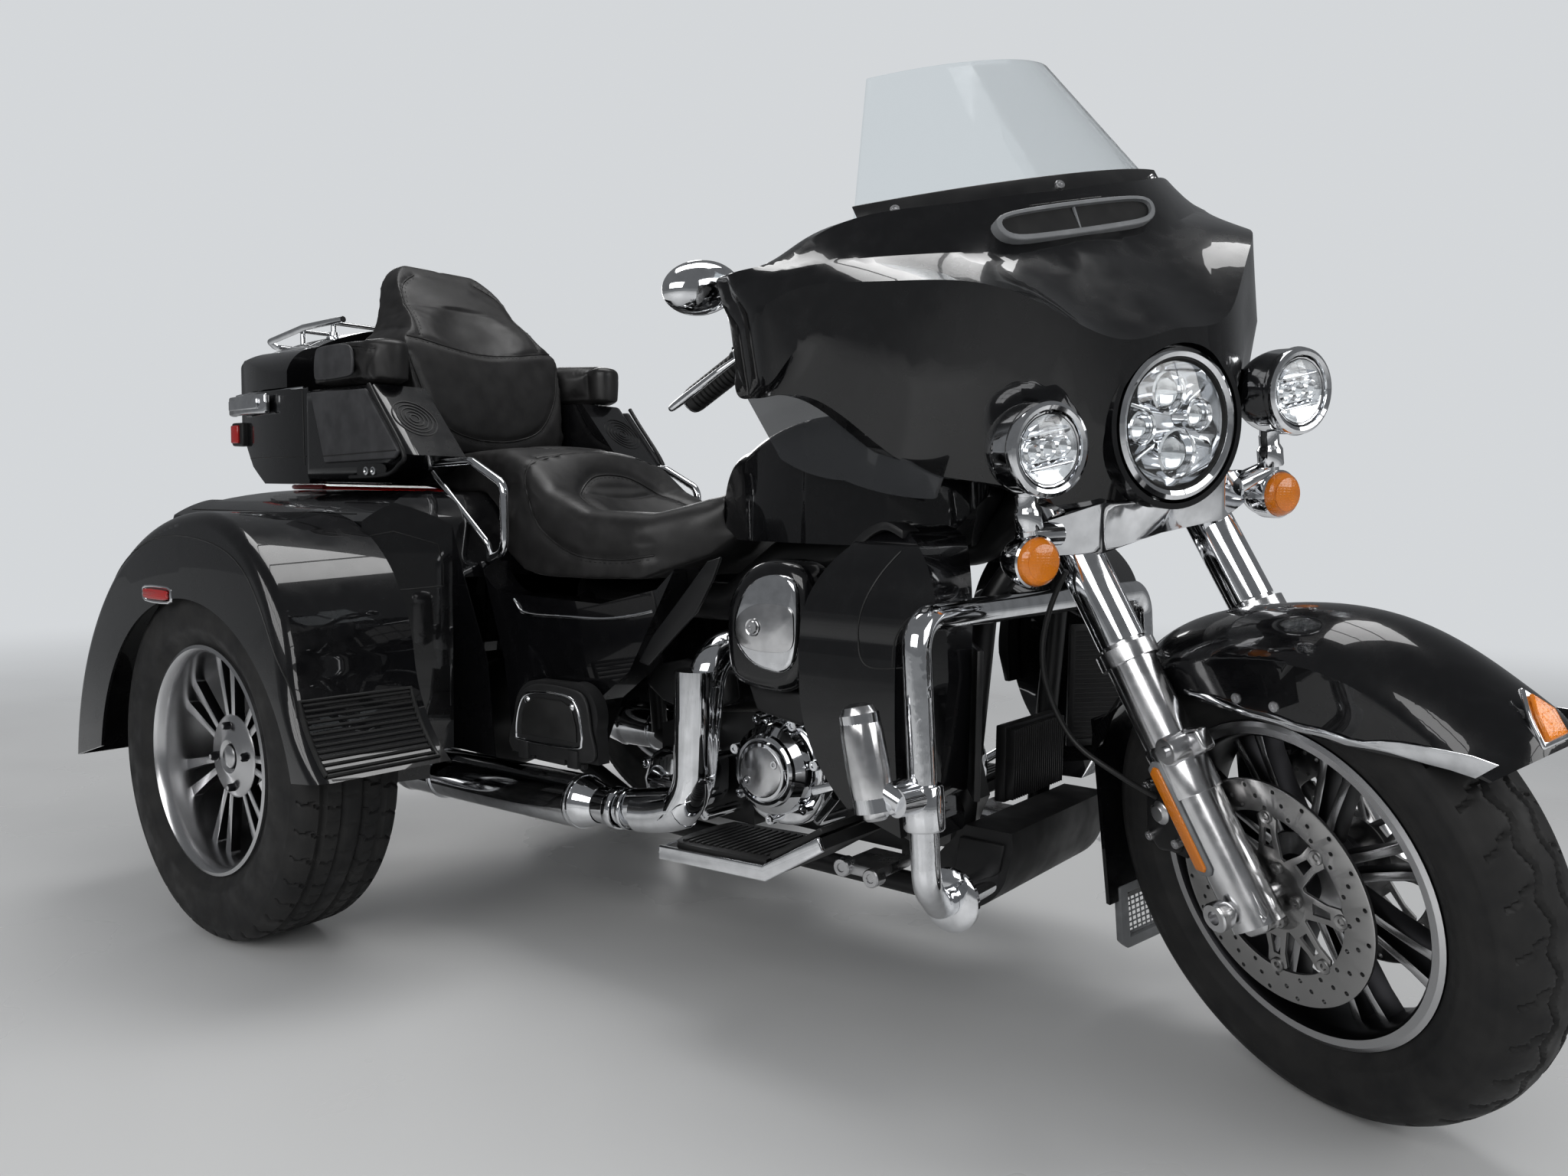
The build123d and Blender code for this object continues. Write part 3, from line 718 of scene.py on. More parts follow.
def smooth_solid(solid):
    """Weld the solid's loose triangles for shading only, and split them again at sharp edges."""
    only(solid)
    bpy.ops.object.shade_smooth()
    weld = solid.modifiers.new("weld", "WELD")
    weld.merge_threshold = MERGE_DISTANCE
    split = solid.modifiers.new("sharp", "EDGE_SPLIT")
    split.split_angle = radians(28)


dressed = 0
for finish, names in NODE_FINISH.items():
    for name in names.split():
        solid = bpy.data.objects[name]
        solid.data.materials.clear()
        solid.data.materials.append(finish)
        smooth_solid(solid)
        dressed += 1
clear()
print("dressed", dressed, "of", len(frame["nodes"]))

# %% [markdown]
# ## Tires
# A tire is the same short pitch of tread repeated round the wheel. One pitch is a grid whose
# columns are bent round the axle and whose rows follow the tire's section. The grooves are
# sunk into it, and copies turned by one pitch close the ring. That keeps the pattern exact and
# the mesh light.

# %% One pitch of tread, copied round
SIDEWALL = 60


def both_walls(half):
    """A tire's whole section from the half up to its middle."""
    return half + tuple((radius, -y) for radius, y in reversed(half[:-1]))


def tread_pitch(name, section, groove, pitches, columns, across, groove_depth):
    """A grid bent to one pitch of a tire. section holds (radius, y) in mm, groove gives 0 to 1."""
    lengths = [0.0]
    for (r0, y0), (r1, y1) in zip(section, section[1:]):
        lengths.append(lengths[-1] + hypot(r1 - r0, y1 - y0))

    def at(share):
        goal = share * lengths[-1]
        for k in range(1, len(lengths)):
            if goal <= lengths[k] + 1e-6:
                part = (goal - lengths[k - 1]) / max(lengths[k] - lengths[k - 1], 1e-6)
                (r0, y0), (r1, y1) = section[k - 1], section[k]
                return r0 + (r1 - r0) * part, y0 + (y1 - y0) * part
        return section[-1]

    clear()
    bpy.ops.mesh.primitive_grid_add(x_subdivisions=columns, y_subdivisions=across, size=1)
    obj = bpy.context.object
    obj.name = name
    for vertex in obj.data.vertices:
        along, share = vertex.co.x + 0.5, vertex.co.y + 0.5
        radius, y = at(share)
        if radius > section[0][0] + SIDEWALL:
            radius -= groove(along, y) * groove_depth
        angle = -2 * pi * along / pitches
        vertex.co = mm(radius * cos(angle), y, radius * sin(angle))
    return obj


def tire_ring(pitch, name, count):
    """Copies of one pitch round the axle; the two open bead edges are bridged behind the rim."""
    ring = outward(repeated(pitch, name, count))
    edit(ring, "EDGE", False)
    bpy.ops.mesh.select_non_manifold(extend=False)
    bpy.ops.mesh.bridge_edge_loops()
    return outward(ring)


print("tread helpers ready")

# %% [markdown]
# The front tire's grooves zigzag near the middle and turn into hooks on the shoulders. The
# sidewall carries only plain rings.

# %% Front tire
def tooth(value):
    """A triangle wave from -1 to 1."""
    return 4 * abs(value - floor(value + 0.5)) - 1


def soft_step(distance, half, edge=1.1):
    """1 inside a groove, 0 outside, with a short slope."""
    return min(max((half + edge - distance) / (2 * edge), 0), 1)


FRONT_COUNT = 34
FRONT_PITCH = 2 * pi * 320 / FRONT_COUNT


def front_groove(along, y):
    """Zigzag grooves near the middle and hooked grooves on the shoulders."""
    side = 1 if y >= 0 else -1
    near = abs(y)
    shift = along + (0.5 if side > 0 else 0)
    zigzag = soft_step(abs(near - 17 - 6 * tooth(shift)), 2.6)
    outer = 0
    if 24 < near < 55:
        slant = 0.22 * (near - 24) / 31 + 0.12 * (1 if near > 38 else 0)
        gap = abs((shift - 0.2 - slant + 0.5) % 1 - 0.5) * FRONT_PITCH
        outer = soft_step(gap, 2.4)
    return max(zigzag, outer)


FRONT_SECTION = both_walls(((212, -44), (222, -50), (236, -58), (239, -60.5), (244, -61), (256, -64),
    (270, -65), (284, -63), (287, -64), (290, -62), (300, -57), (307, -48), (311, -40), (315, -30), (318, -18),
    (320, 0)))
pitch = tread_pitch("front_tire_tread", FRONT_SECTION, front_groove, FRONT_COUNT, 18, 84, 5.5)
front_tread = tire_ring(pitch, "front_tire_tread", FRONT_COUNT)
moved(front_tread, TO_FRONT_AXLE)
place(front_tread, tire_rubber, "front_wheel_body")
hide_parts("front_tire")
print("front tire faces", len(front_tread.data.polygons))

# %% [markdown]
# The rear tires are flat and wide like a car's, because a three-wheeler doesn't lean. The same
# steps make them, with straight grooves and fine cuts.

# %% Rear tires
REAR_COUNT = 40
REAR_PITCH = 2 * pi * REAR_AXLE_Z / REAR_COUNT


def rear_groove(along, y):
    """Four straight grooves with wavy sipes between them, as on a car tire."""
    near = abs(y)
    straight = max(soft_step(abs(near - 18), 3.2), soft_step(abs(near - 54), 3.6))
    slope = 0.35 * y / 60 + 0.08 * tooth(y / 24)
    gap = abs((along - slope + 0.5) % 1 - 0.5) * REAR_PITCH
    wide = 2.0 if near > 56 else 1.1
    sipe = soft_step(gap, wide, 0.9) if near > 20 and near < 92 else 0
    second = abs((along + 0.5 - slope + 0.5) % 1 - 0.5) * REAR_PITCH
    fine = 0.5 * soft_step(second, 0.8, 0.9) if near < 50 else 0
    return max(straight, sipe, fine)


REAR_SECTION = both_walls(((199, -82), (212, -88), (226, -96), (230, -99), (236, -99.5), (255, -100),
    (276, -98), (290, -96), (293, -97), (297, -94), (306, -91), (313, -86), (318, -77), (320, -66),
    (321.5, -36), (322, 0)))
pitch = tread_pitch("rear_tire_tread_right", REAR_SECTION, rear_groove, REAR_COUNT, 16, 88, 6.5)
rear_tread = tire_ring(pitch, "rear_tire_tread_right", REAR_COUNT)
moved(rear_tread, TO_RIGHT_WHEEL)
replace_pair(place_pair(rear_tread, tire_rubber, "rear_wheel_right_body"), "rear_tire_right")
print("rear tire faces", len(rear_tread.data.polygons))

# %% [markdown]
# ## Front wheel
# A cast wheel with eight pairs of spokes. The faces that look sideways were turned bright and
# the rest stayed black; the wheel's finish does that by itself from the direction of each
# face. The rim is a profile spun round the axle. One pair of spokes is drawn flat, extruded and
# bevelled, and turned copies make the set.

# %% Rim, spokes and hub
RIM_PROFILE = ((217, -50), (218, -46), (210, -41), (206, -20), (205, 0), (206, 20), (210, 41), (218, 46),
    (217, 50), (211, 53), (201, 52), (197, 47), (195, 34), (190, 14), (190, -14), (195, -34), (197, -47),
    (201, -52), (211, -53), (217, -50))
rim = turned("front_rim", RIM_PROFILE, steps=96)
arm = side_plate("front_spoke", -17, 34, [(54, 4), (54, 19), (112, 19), (160, 23), (197, 31), (197, 15),
    (150, 9.5), (112, 7)], 2.2)
other = moved(copied(arm, "front_spoke"), Matrix.Scale(-1, 4, UP))
pair_of_spokes = spun(joined("front_spokes", [arm, other]), -26)
spokes = repeated(pair_of_spokes, "front_spokes", 8)
hub = turned("front_hub", ((0, -60), (30, -60), (34, -56), (34, -30), (60, -22), (62, -18), (62, 18), (60, 22),
    (34, 30), (34, 56), (30, 60), (0, 60)), steps=64)
front_wheel = joined("front_cast_wheel", [rim, spokes, hub])
moved(front_wheel, TO_FRONT_AXLE)
place(front_wheel, front_machined, "front_wheel_body", smooth=30)
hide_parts("front_wheel")
print("front wheel faces", len(front_wheel.data.polygons))

# %% [markdown]
# The brake discs are ground steel rings, drilled in rows so that water and dust leave them. A
# star-shaped carrier holds each ring on round buttons. The holes are cut with one Boolean:
# all the drills are joined into one tool first, which is faster than many cuts.

# %% Brake discs
def drill(radius, angle, size, y_from, y_to):
    """A small cylinder along Y at a place on the disc."""
    clear()
    middle = mm(*around(0, 0, radius, angle, (y_from + y_to) / 2))
    bpy.ops.mesh.primitive_cylinder_add(vertices=12, radius=size / 1000, depth=(y_to - y_from) / 1000,
        location=middle, rotation=(pi / 2, 0, 0))
    bpy.ops.object.transform_apply()
    return bpy.context.object


ring_profile = ((108, -80), (110, -80.6), (148, -80.6), (150, -79.6), (150, -75.4), (148, -74.4), (110, -74.4),
    (108, -75), (108, -80))
disc = turned("brake_disc_right", ring_profile, steps=96)
drills = []
for step in range(20):
    for row, radius in enumerate((116, 129, 142)):
        drills.append(drill(radius, step * 18 + row * 6, 3.1, -84, -71))
cut(disc, joined("drills", drills))
star = []
for point in range(8):
    for offset, radius in ((-20, 54), (-9, 84), (-8.5, 104), (-4, 109), (4, 109), (8.5, 104), (9, 84),
        (20, 54)):
        star.append(around(0, 0, radius, point * 45 + offset, -79))
carrier = plate("disc_carrier", star, (0, 4, 0), 0.8)
window = side_plate("window", -84, 14, [(62, -8), (62, 8), (88, 5), (88, -5)])
cut(carrier, repeated(window, "windows", 8))
centre = turned("disc_centre", ((20, -79), (50, -79), (54, -77), (54, -74), (20, -74), (20, -79)), ORIGIN, LEFT,
    48)
button = turned("button", ((4.5, -81), (8.5, -82), (9.5, -81), (9.5, -76), (4.5, -76), (4.5, -81)), (104, 0, 0),
    LEFT, 20)
buttons = repeated(button, "buttons", 8)
bolts = repeated(screw_at((39, -81, 0), RIGHT, 8), "bolts", 5)
disc = joined("brake_disc_right", [disc, carrier, centre, buttons, bolts])
moved(disc, TO_FRONT_AXLE)
place_pair(disc, disc_metal, "front_wheel_body", smooth=30)
print("disc faces", len(disc.data.polygons))

# %% [markdown]
# ## Rear wheels
# The rear wheels are deep: the polished dish shows, and seven pairs of thin spokes run to a hub
# with four nuts. The same steps as before make them.

# %% Rear wheel
RIM_REAR = ((203, -90), (203, -84), (198, -79), (195, 0), (194, 76), (202, 81), (203, 88), (196, 89), (187, 84),
    (184, 40), (182, -30), (188, -70), (191, -86), (197, -92), (203, -90))
rim = turned("rear_rim", RIM_REAR, steps=96)
spoke = side_plate("rear_spoke", -40, 19, [(60, -6.5), (60, 6.5), (110, 7), (186, 11), (186, -9), (110, -7)],
    1.8)
one = spun(spoke, 8)
two = spun(copied(spoke, "rear_spoke"), -16)
pair_of_spokes = spun(joined("rear_spokes", [one, two]), -201)
spokes = repeated(pair_of_spokes, "rear_spokes", 7)
hub = turned("rear_hub", ((22, 30), (22, -46), (30, -50), (38, -48), (44, -44), (70, -43), (75, -39), (76, -30),
    (60, -14), (52, 0), (52, 30), (22, 30)), steps=64)
cap = turned("hub_cap", ((0, -53), (16, -52), (21, -48), (22, -40), (0, -40)), steps=32)
nut = turned("lug_nut", ((0, -56), (4.5, -56), (7.5, -53), (8, -44), (11, -43), (11, -41), (0, -41)),
    (55, 0, 0), LEFT, 6)
nuts = spun(repeated(nut, "lug_nuts", 4), -7)
rear_wheel = joined("rear_cast_wheel_right", [rim, spokes, hub, cap, nuts])
moved(rear_wheel, TO_RIGHT_WHEEL)
replace_pair(place_pair(rear_wheel, rear_machined, "rear_wheel_right_body"), "rear_wheel_right")
print("rear wheel faces", len(rear_wheel.data.polygons))

# %% [markdown]
# ## Fork
# The legs slant 31 degrees. Chrome covers surround the upper tubes, and the polished sliders
# below carry the axle clamp, the lug for the fender and a long amber reflector.

# %% Chrome covers, axle clamps and reflectors
LEG = Vector((-tan(FORK_ANGLE), 0, 1)).normalized()


def on_leg(height, out=0.0, ahead=0.0, side=-1):
    """A point by a fork leg: height in mm, then how far outside and ahead of its centre line."""
    forward = Vector((LEG.z, 0, -LEG.x))
    return Vector(fork_mm(height, side * FORK_Y)) + Vector((0, side * out, 0)) + forward * ahead


place_pair(turned("fork_cover_right", ((30.2, 0), (32.4, 0), (32.8, 3), (32.8, 400), (30.2, 400), (30.2, 0)),
    on_leg(628), LEG, 48), chrome, "steering")
clamp = turned("axle_clamp", ((0, -20), (21, -20), (24, -17), (24, 17), (21, 20), (0, 20)),
    (WHEELBASE, -FORK_Y - 6, FRONT_AXLE_Z), LEFT, 40)
foot = plate("slider_foot", [on_leg(362, 16, 30), on_leg(300, 16, 34), on_leg(284, 16, 22),
    on_leg(282, 16, -12), on_leg(306, 16, -32), on_leg(362, 16, -32)], (0, 30, 0), 6, 3)
nut = turned("axle_nut", ((0, 0), (9, 0), (9, -16), (17, -16), (19, -14), (19, 0), (16, 6), (0, 6)),
    (WHEELBASE, -164, FRONT_AXLE_Z), LEFT, 32)
pinch = screw_at(on_leg(300, 14, 22), RIGHT, 10, 3, 12)
lug = turned("fender_lug", ((0, -26), (7, -26), (7, -22), (17, -22), (19, -19), (20, 20), (0, 20)),
    on_leg(495, 14, 26), LEFT, 32)
bridge = plate("fender_stay", [on_leg(512, 6, 24), on_leg(505, 6, 62), on_leg(480, 6, 62), on_leg(478, 6, 24)],
    (0, 22, 0), 5, 3)
collar = turned("slider_collar", ((33, -6), (36.5, -5), (37, 0), (37, 62), (35, 68), (33, 68), (33, -6)),
    on_leg(446), LEG, 48)
place_pair(joined("slider_fittings_right", [clamp, foot, nut, pinch, lug, bridge, collar]), aluminium,
    "steering")
place_pair(plate("reflector_bezel_right", [on_leg(492, 33, -5), on_leg(488, 33, 8), on_leg(362, 33, 8),
    on_leg(356, 33, 0), on_leg(362, 33, -19), on_leg(486, 33, -19)], (0, -6, 0), 3, 3), soft_grey, "steering")
place_pair(plate("amber_reflector_right", [on_leg(486, 37, -4), on_leg(482, 37, 4), on_leg(366, 37, 4),
    on_leg(362, 37, -2), on_leg(368, 37, -15), on_leg(481, 37, -15)], (0, -5, 0), 2.5, 3), amber_lens,
    "steering")
print("fork dressed")

# %% [markdown]
# The brake hose is one smooth line from the lamp bracket down to the caliper. It is a NURBS curve whose control
# points are the route of the CAD solid.

# %% Brake hose
HOSE_ROUTE = ((1440, -165, 735), (1380, -190, 640), (1420, -190, 500), (1500, -160, 450), (1520, -120, 415))
hose_data = bpy.data.curves.new("brake_hose", "CURVE")
hose_data.dimensions = "3D"
line = hose_data.splines.new("NURBS")
line.points.add(len(HOSE_ROUTE) - 1)
for point, spot in zip(line.points, HOSE_ROUTE):
    point.co = (*(FRAME_SHIFT @ TURN @ mm(*spot)), 1)
line.order_u = 3
line.use_endpoint_u = True
line.resolution_u = 24
hose_data.bevel_depth = 0.004
hose_data.bevel_resolution = 4
hose_data.use_fill_caps = True
hose = added("brake_hose", hose_data)
hose_data.materials.append(hose_rubber)
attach(hose, "steering")
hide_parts("brake_line")

# %% [markdown]
# ## Calipers
# Each caliper is a black casting that bridges the disc. Its bolts and a bare round medallion
# face outwards, and two feet bolt it to the slider.

# %% Calipers
body = side_plate("caliper_shell", -118, 30, [(1488, 352), (1496, 430), (1530, 446), (1560, 436), (1566, 398),
    (1552, 340), (1510, 330)], 7, 3)
medallion = turned("caliper_medallion", ((0, -124), (10, -124), (12, -122), (15, -121), (17, -119), (17, -116),
    (0, -116)), (1522, 0, 392), LEFT, 32)
screws = [screw_at((x, -120, z), RIGHT, 7, 4, 6) for x, z in ((1500, 352), (1504, 426), (1548, 424),
    (1550, 356))]
place_pair(joined("caliper_shell_right", [body]), satin_black, "steering")
place_pair(joined("caliper_fittings_right", [medallion] + screws), steel, "steering")
print("calipers dressed")

# %% [markdown]
# ## Lamps
# Each lamp is a chrome ring round a polished reflector under a domed clear lens. The headlight
# holds four projector lenses. Its solid is flat in front, so a hollow housing replaces it,
# which lets light fall in between the projectors as in the real lamp.

# %% Headlight
LAMP_X, LAMP_Z = 1492, 905
HEADLIGHT = (LAMP_X, 0, LAMP_Z)
housing = turned("headlight_housing", ((0, -66), (31, -66), (76, -50), (102, -20), (103, -4), (101, 6), (95, 9),
    (89, 6), (87, 0), (84, -14), (62, -36), (0, -42)), HEADLIGHT, FORWARD, 72)
place(housing, chrome, "steering")
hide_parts("headlight")
# A black ring where the lens meets the chrome rim: painted shade of the gap there.
place(turned("headlight_gasket", ((87, -2), (90, 3), (86, 5), (83, 0), (87, -2)), HEADLIGHT, FORWARD, 72),
    gap_shade_black, "steering")
inner = []
for y, z, size, depth in ((0, 43, 27, 26), (0, -40, 31, 30)):
    inner.append(turned("projector", ((0, -38), (size, -38), (size + 3, -10), (size + 3, depth - 32),
        (size, depth - 30), (size - 3, depth - 34), (size - 5, -18), (0, -18)), (LAMP_X, y, LAMP_Z + z),
        FORWARD, 40))
for side in (-1, 1):
    inner.append(turned("side_projector", ((0, -36), (20, -36), (23, -14), (23, -5), (21, -3), (18, -6),
        (16, -20), (0, -20)), (1490, side * 50, LAMP_Z + 4), FORWARD, 36))
    for level in (-1, 1):
        inner.append(plate("reflector_web", [(1462, side * 22, LAMP_Z + level * 8),
            (1484, side * 30, LAMP_Z + level * 20), (1482, side * 64, LAMP_Z + level * 34),
            (1462, side * 60, LAMP_Z + level * 40)], (0, side * 6, level * 8), 2))
place(joined("headlight_projector_rings", inner), chrome, "steering")
bulbs = []
for y, z, size, x in ((0, 43, 22, 1474), (0, -40, 26, 1474), (-50, 4, 15, 1472), (50, 4, 15, 1472)):
    bulbs.append(turned("projector_lens", ((0, -4), (size, -4), (size, 0), (size * 0.85, size * 0.35),
        (size * 0.5, size * 0.58), (0, size * 0.66)), (x, y, LAMP_Z + z), FORWARD, 32))
place(joined("headlight_projector_lenses", bulbs), clear_lens, "steering", smooth=60)
place(turned("headlight_lens", ((0, 10), (40, 8.5), (70, 5), (86, 0), (86, -2), (70, 3), (40, 6.5), (0, 8)),
    HEADLIGHT, FORWARD, 64), clear_lens, "steering", smooth=60)
print("headlight built")

# %% [markdown]
# The two round lamps beside it have the same build at a smaller scale. Inside, a stepped
# barrel and a faceted bowl break up the light. The facets come from spinning a profile in few
# steps and leaving it unsmoothed.

# %% Passing lamps and turn signals
PASSING_Z = 912
PASSING = (1496, -220, PASSING_Z)
place_pair(turned("passing_lamp_ring_right", ((47, -2), (60.5, -2), (62, 4), (60, 11), (55, 14), (50, 12),
    (47.5, 6), (47, -2)), PASSING, FORWARD, 56), chrome, "steering")
bowl = turned("passing_lamp_bowl", ((0, 0.4), (20, 0.6), (34, 3), (47.5, 9), (47.5, 0), (0, 0)), PASSING,
    FORWARD, 18)
barrels = []
for offset in (-24, 0, 24):
    barrels.append(turned("lamp_barrel", ((0, 1), (13, 1), (13, 5), (10, 8), (7, 5), (0, 4)),
        (1496, -220 + offset, PASSING_Z), FORWARD, 20))
for level in (-1, 1):
    barrels.append(plate("lamp_fin", [(1497, -260, PASSING_Z + level * 14),
        (1506, -254, PASSING_Z + level * 20), (1506, -186, PASSING_Z + level * 20),
        (1497, -180, PASSING_Z + level * 14)], (0, 0, level * 3), 1))
place_pair(joined("passing_lamp_reflector_right", [bowl] + barrels), chrome, "steering", smooth=12)
place_pair(turned("passing_lamp_lens_right", ((0, 17), (24, 15.5), (40, 11), (47.5, 7), (47.5, 5), (40, 9.5),
    (24, 14), (0, 15.5)), PASSING, FORWARD, 48), clear_lens, "steering", smooth=60)
SIGNAL = (1452, -222, 762)
place_pair(turned("signal_cup_right", ((34, -24), (35.5, -20), (35.5, 2), (33, 4), (31, 1), (34, -24)), SIGNAL,
    FORWARD, 40), chrome, "steering")
place_pair(turned("signal_lens_right", ((0, 0), (32, 0), (32.5, 6), (30, 12), (24, 16), (24.5, 17.5),
    (14, 20.5), (0, 22)), SIGNAL, FORWARD, 40), amber_lens, "steering", smooth=50)
place_pair(turned("lamp_post_right", ((0, -2), (17, -2), (18, 0), (18, 22), (16, 26), (14, 30), (14, 44),
    (0, 44)), (1444, -220, 806), UP, 32), chrome, "steering")
print("lamps built")

# %% [markdown]
# ## Fairing
# The fairing's air slot is a grey bezel that stands a little proud of the painted shell. Its dark floor is a
# plate of painted shade over the shell, where the opening would be dark, and a vane splits it. The screwed band
# holds the foot of the windshield.

# %% Fairing with its air slot
SLOT = (1336, 0, 1196)
SLOT_SHAPE = eased([(0, -132, -4), (0, -122, 12), (0, -60, 17), (0, 60, 17), (0, 122, 12), (0, 132, -4),
    (0, 112, -18), (0, 50, -21), (0, -50, -21), (0, -112, -18)], 4, True)[:-1]


def slot_ring(name, grow, back, front):
    """The slot's outline grown by some mm, from back to front, leaning as the fairing does."""
    points = [(back, p.y * (1 + grow / 130), p.z * (1 + grow / 20)) for p in SLOT_SHAPE]
    obj = plate(name, points, (front - back, 0, 0))
    return moved(spun(obj, -24), offset_by(*SLOT))


bezel = slot_ring("slot_bezel", 6, -18, 9)
bevelled(bezel, 2.5, 3)
cut(bezel, slot_ring("hole", -1.5, -14, 40))
vane = side_plate("slot_vane", -1.5, 3, [(1312, 1182), (1347, 1176), (1336, 1212), (1308, 1210)], 0.6)
place(joined("slot_bezel", [bezel, vane]), soft_grey, "steering")
# A dark plate inside the bezel: painted shade of the open slot.
place(slot_ring("slot_floor", 1, -8, 2.5), hose_rubber, "steering")
print("slot outline points", len(SLOT_SHAPE))

# %% [markdown]
# The foot of the windshield is a curved band. Its outline is an arc seen from above, extruded
# backwards and up, the way the windshield leans.

# %% Windshield band
WINDSHIELD_X, WINDSHIELD_LEAN = 854, 0.58


def arc_at(angle, radius, height):
    """A point on the windshield's foot, seen from above."""
    turn = radians(angle)
    return (WINDSHIELD_X + radius * cos(turn), radius * sin(turn), height)


def foot_band(name, inner, outer, low, high, half=37):
    """A curved band between two radii, leaning back as the windshield does."""
    line = [arc_at(a, outer, low) for a in range(-half, half + 1, 3)]
    line += [arc_at(a, inner, low) for a in range(half, -half - 1, -3)]
    return plate(name, line, (-WINDSHIELD_LEAN * (high - low), 0, high - low), 1.2)


band = foot_band("windshield_band", 456, 465, 1226, 1262)
lip = foot_band("windshield_lip", 458, 472, 1222, 1231, 38)
place(band, satin_black, "steering")
place(lip, black_paint, "steering")
screws = []
for angle in (-31, 0, 31):
    turn = radians(angle)
    axis = (cos(turn) * 0.87, sin(turn) * 0.87, 0.5)
    screws.append(screw_at(arc_at(angle, 456, 1246), axis, 7.5))
place(joined("band_screws", screws), steel, "steering")
print("windshield band and", len(screws), "screws")

# %% [markdown]
# ## Mirrors, grips and levers
# A mirror is a chrome shell with a flat glass behind. The bowl is spun as a round shape and
# then stretched sideways, which is quicker than modelling an oval.

# %% Mirrors
shell = turned("mirror_right", ((0, 30), (14, 28.5), (26, 23), (35, 12), (39.5, 0), (41, -10), (40, -13),
    (38, -13), (37.5, -9), (0, -9)), ORIGIN, FORWARD, 56)
glass_disc = turned("mirror_glass_right", ((0, -9.2), (37, -9.2), (37, -11.5), (0, -11.5)), ORIGIN, FORWARD, 48)
to_place = offset_by(1002, -437, 1193) @ Matrix.Rotation(radians(12), 4, "Z")
to_place = to_place @ Matrix.Diagonal((1, 68 / 41, 1, 1))
moved(shell, to_place)
moved(glass_disc, to_place)
stem = pipe("mirror_stem", [(996, -402, 1182), (1000, -378, 1164), (1008, -350, 1122), (1010, -342, 1100)], 6,
    14)
ball = turned("stem_ball", ((0, 12), (9, 9), (12, 0), (9, -9), (0, -12)), (1000, -398, 1180), UP, 24)
nut = turned("stem_nut", ((0, 0), (10, 0), (10, 12), (7, 17), (0, 19)), (1010, -342, 1098), UP, 6)
pair_made = place_pair(joined("mirror_right", [shell, stem, ball, nut]), chrome, "steering")
for piece, name in zip(pair_made, ("mirror_right", "mirror_left")):
    piece.name = name + "_shell"
    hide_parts(name)
place_pair(glass_disc, mirror_glass, "steering")
print("mirrors done")

# %% [markdown]
# The grip is a ribbed sleeve on the handlebar. The lever is a bar that gets thinner towards its
# ball end: a Skin modifier gives each point of a line its own thickness.

# %% Grips, levers and switch housings
GRIP_END, GRIP_TOP = Vector((850, -432, 1020)), Vector((945, -358, 1078))
grip_way = (GRIP_TOP - GRIP_END).normalized()
grip_profile = [(14, 2), (20.5, 4)]
for ring_number in range(11):
    along = 12 + ring_number * 9
    grip_profile += [(21.6, along), (21.6, along + 5.5), (19.6, along + 7)]
grip_profile += [(22.5, 112), (24, 116), (24, 120), (14, 121), (14, 2)]
place_pair(turned("grip_right", grip_profile, GRIP_END, grip_way, 32), hose_rubber, "steering")
cap = turned("grip_cap", ((0, -6), (12, -5), (18.5, -1), (20.5, 4), (0, 4)), GRIP_END, grip_way, 32)
housing = turned("switch_housing", ((15, 122), (25, 124), (27, 130), (27, 158), (24, 163), (15, 164),
    (15, 122)), GRIP_END, grip_way, 32)
ahead = Vector((0.62, -0.79, 0))
lever = draw("lever_right", [GRIP_TOP + grip_way * 30 + ahead * 20, GRIP_TOP + grip_way * 10 + ahead * 42,
    GRIP_TOP - grip_way * 30 + ahead * 52, GRIP_END + grip_way * 20 + ahead * 54,
    GRIP_END - grip_way * 10 + ahead * 56])
only(lever)
bpy.ops.object.modifier_add(type="SKIN")
lever.modifiers[0].use_smooth_shade = True
for number, size in enumerate((9, 10, 8, 5.5, 8)):
    lever.data.skin_vertices[0].data[number].radius = (size / 1000, size * 0.75 / 1000)
bpy.ops.object.modifier_apply(modifier=lever.modifiers[0].name)
outward(modified(lever, "SUBSURF", levels=2))
place_pair(joined("lever_right", [lever, housing, cap]), chrome, "steering", smooth=45)
switches = []
for along, size in ((133, 7), (148, 6)):
    middle = GRIP_END + grip_way * along + Vector((-22, -6, 16))
    switches.append(brick("switch", middle - Vector((size, size, 5)), middle + Vector((size, size, 5)), 2))
place_pair(joined("switches_right", switches), black_plastic, "steering")
print("cockpit grips done")

# %% [markdown]
# ## Instruments
# The rider sees two large dials, four small ones, a screen and two speakers. A dial is a spun
# ring over a dark face, its marks are one small bar copied round, and the speakers are covered by
# rings of a grille. This side can't be seen in the photograph, so it follows common practice.

# %% Dials, screen and speakers
PANEL_WAY = Vector((-0.945, 0, 0.33)).normalized()
PANEL_X, PANEL_FOOT, PANEL_SLOPE = 1152, 1045, 111


def on_panel(y, height):
    """A point on the sloping upper half of the instrument panel."""
    return (PANEL_X + (height - PANEL_FOOT) * 34 / PANEL_SLOPE - 1, y, height)


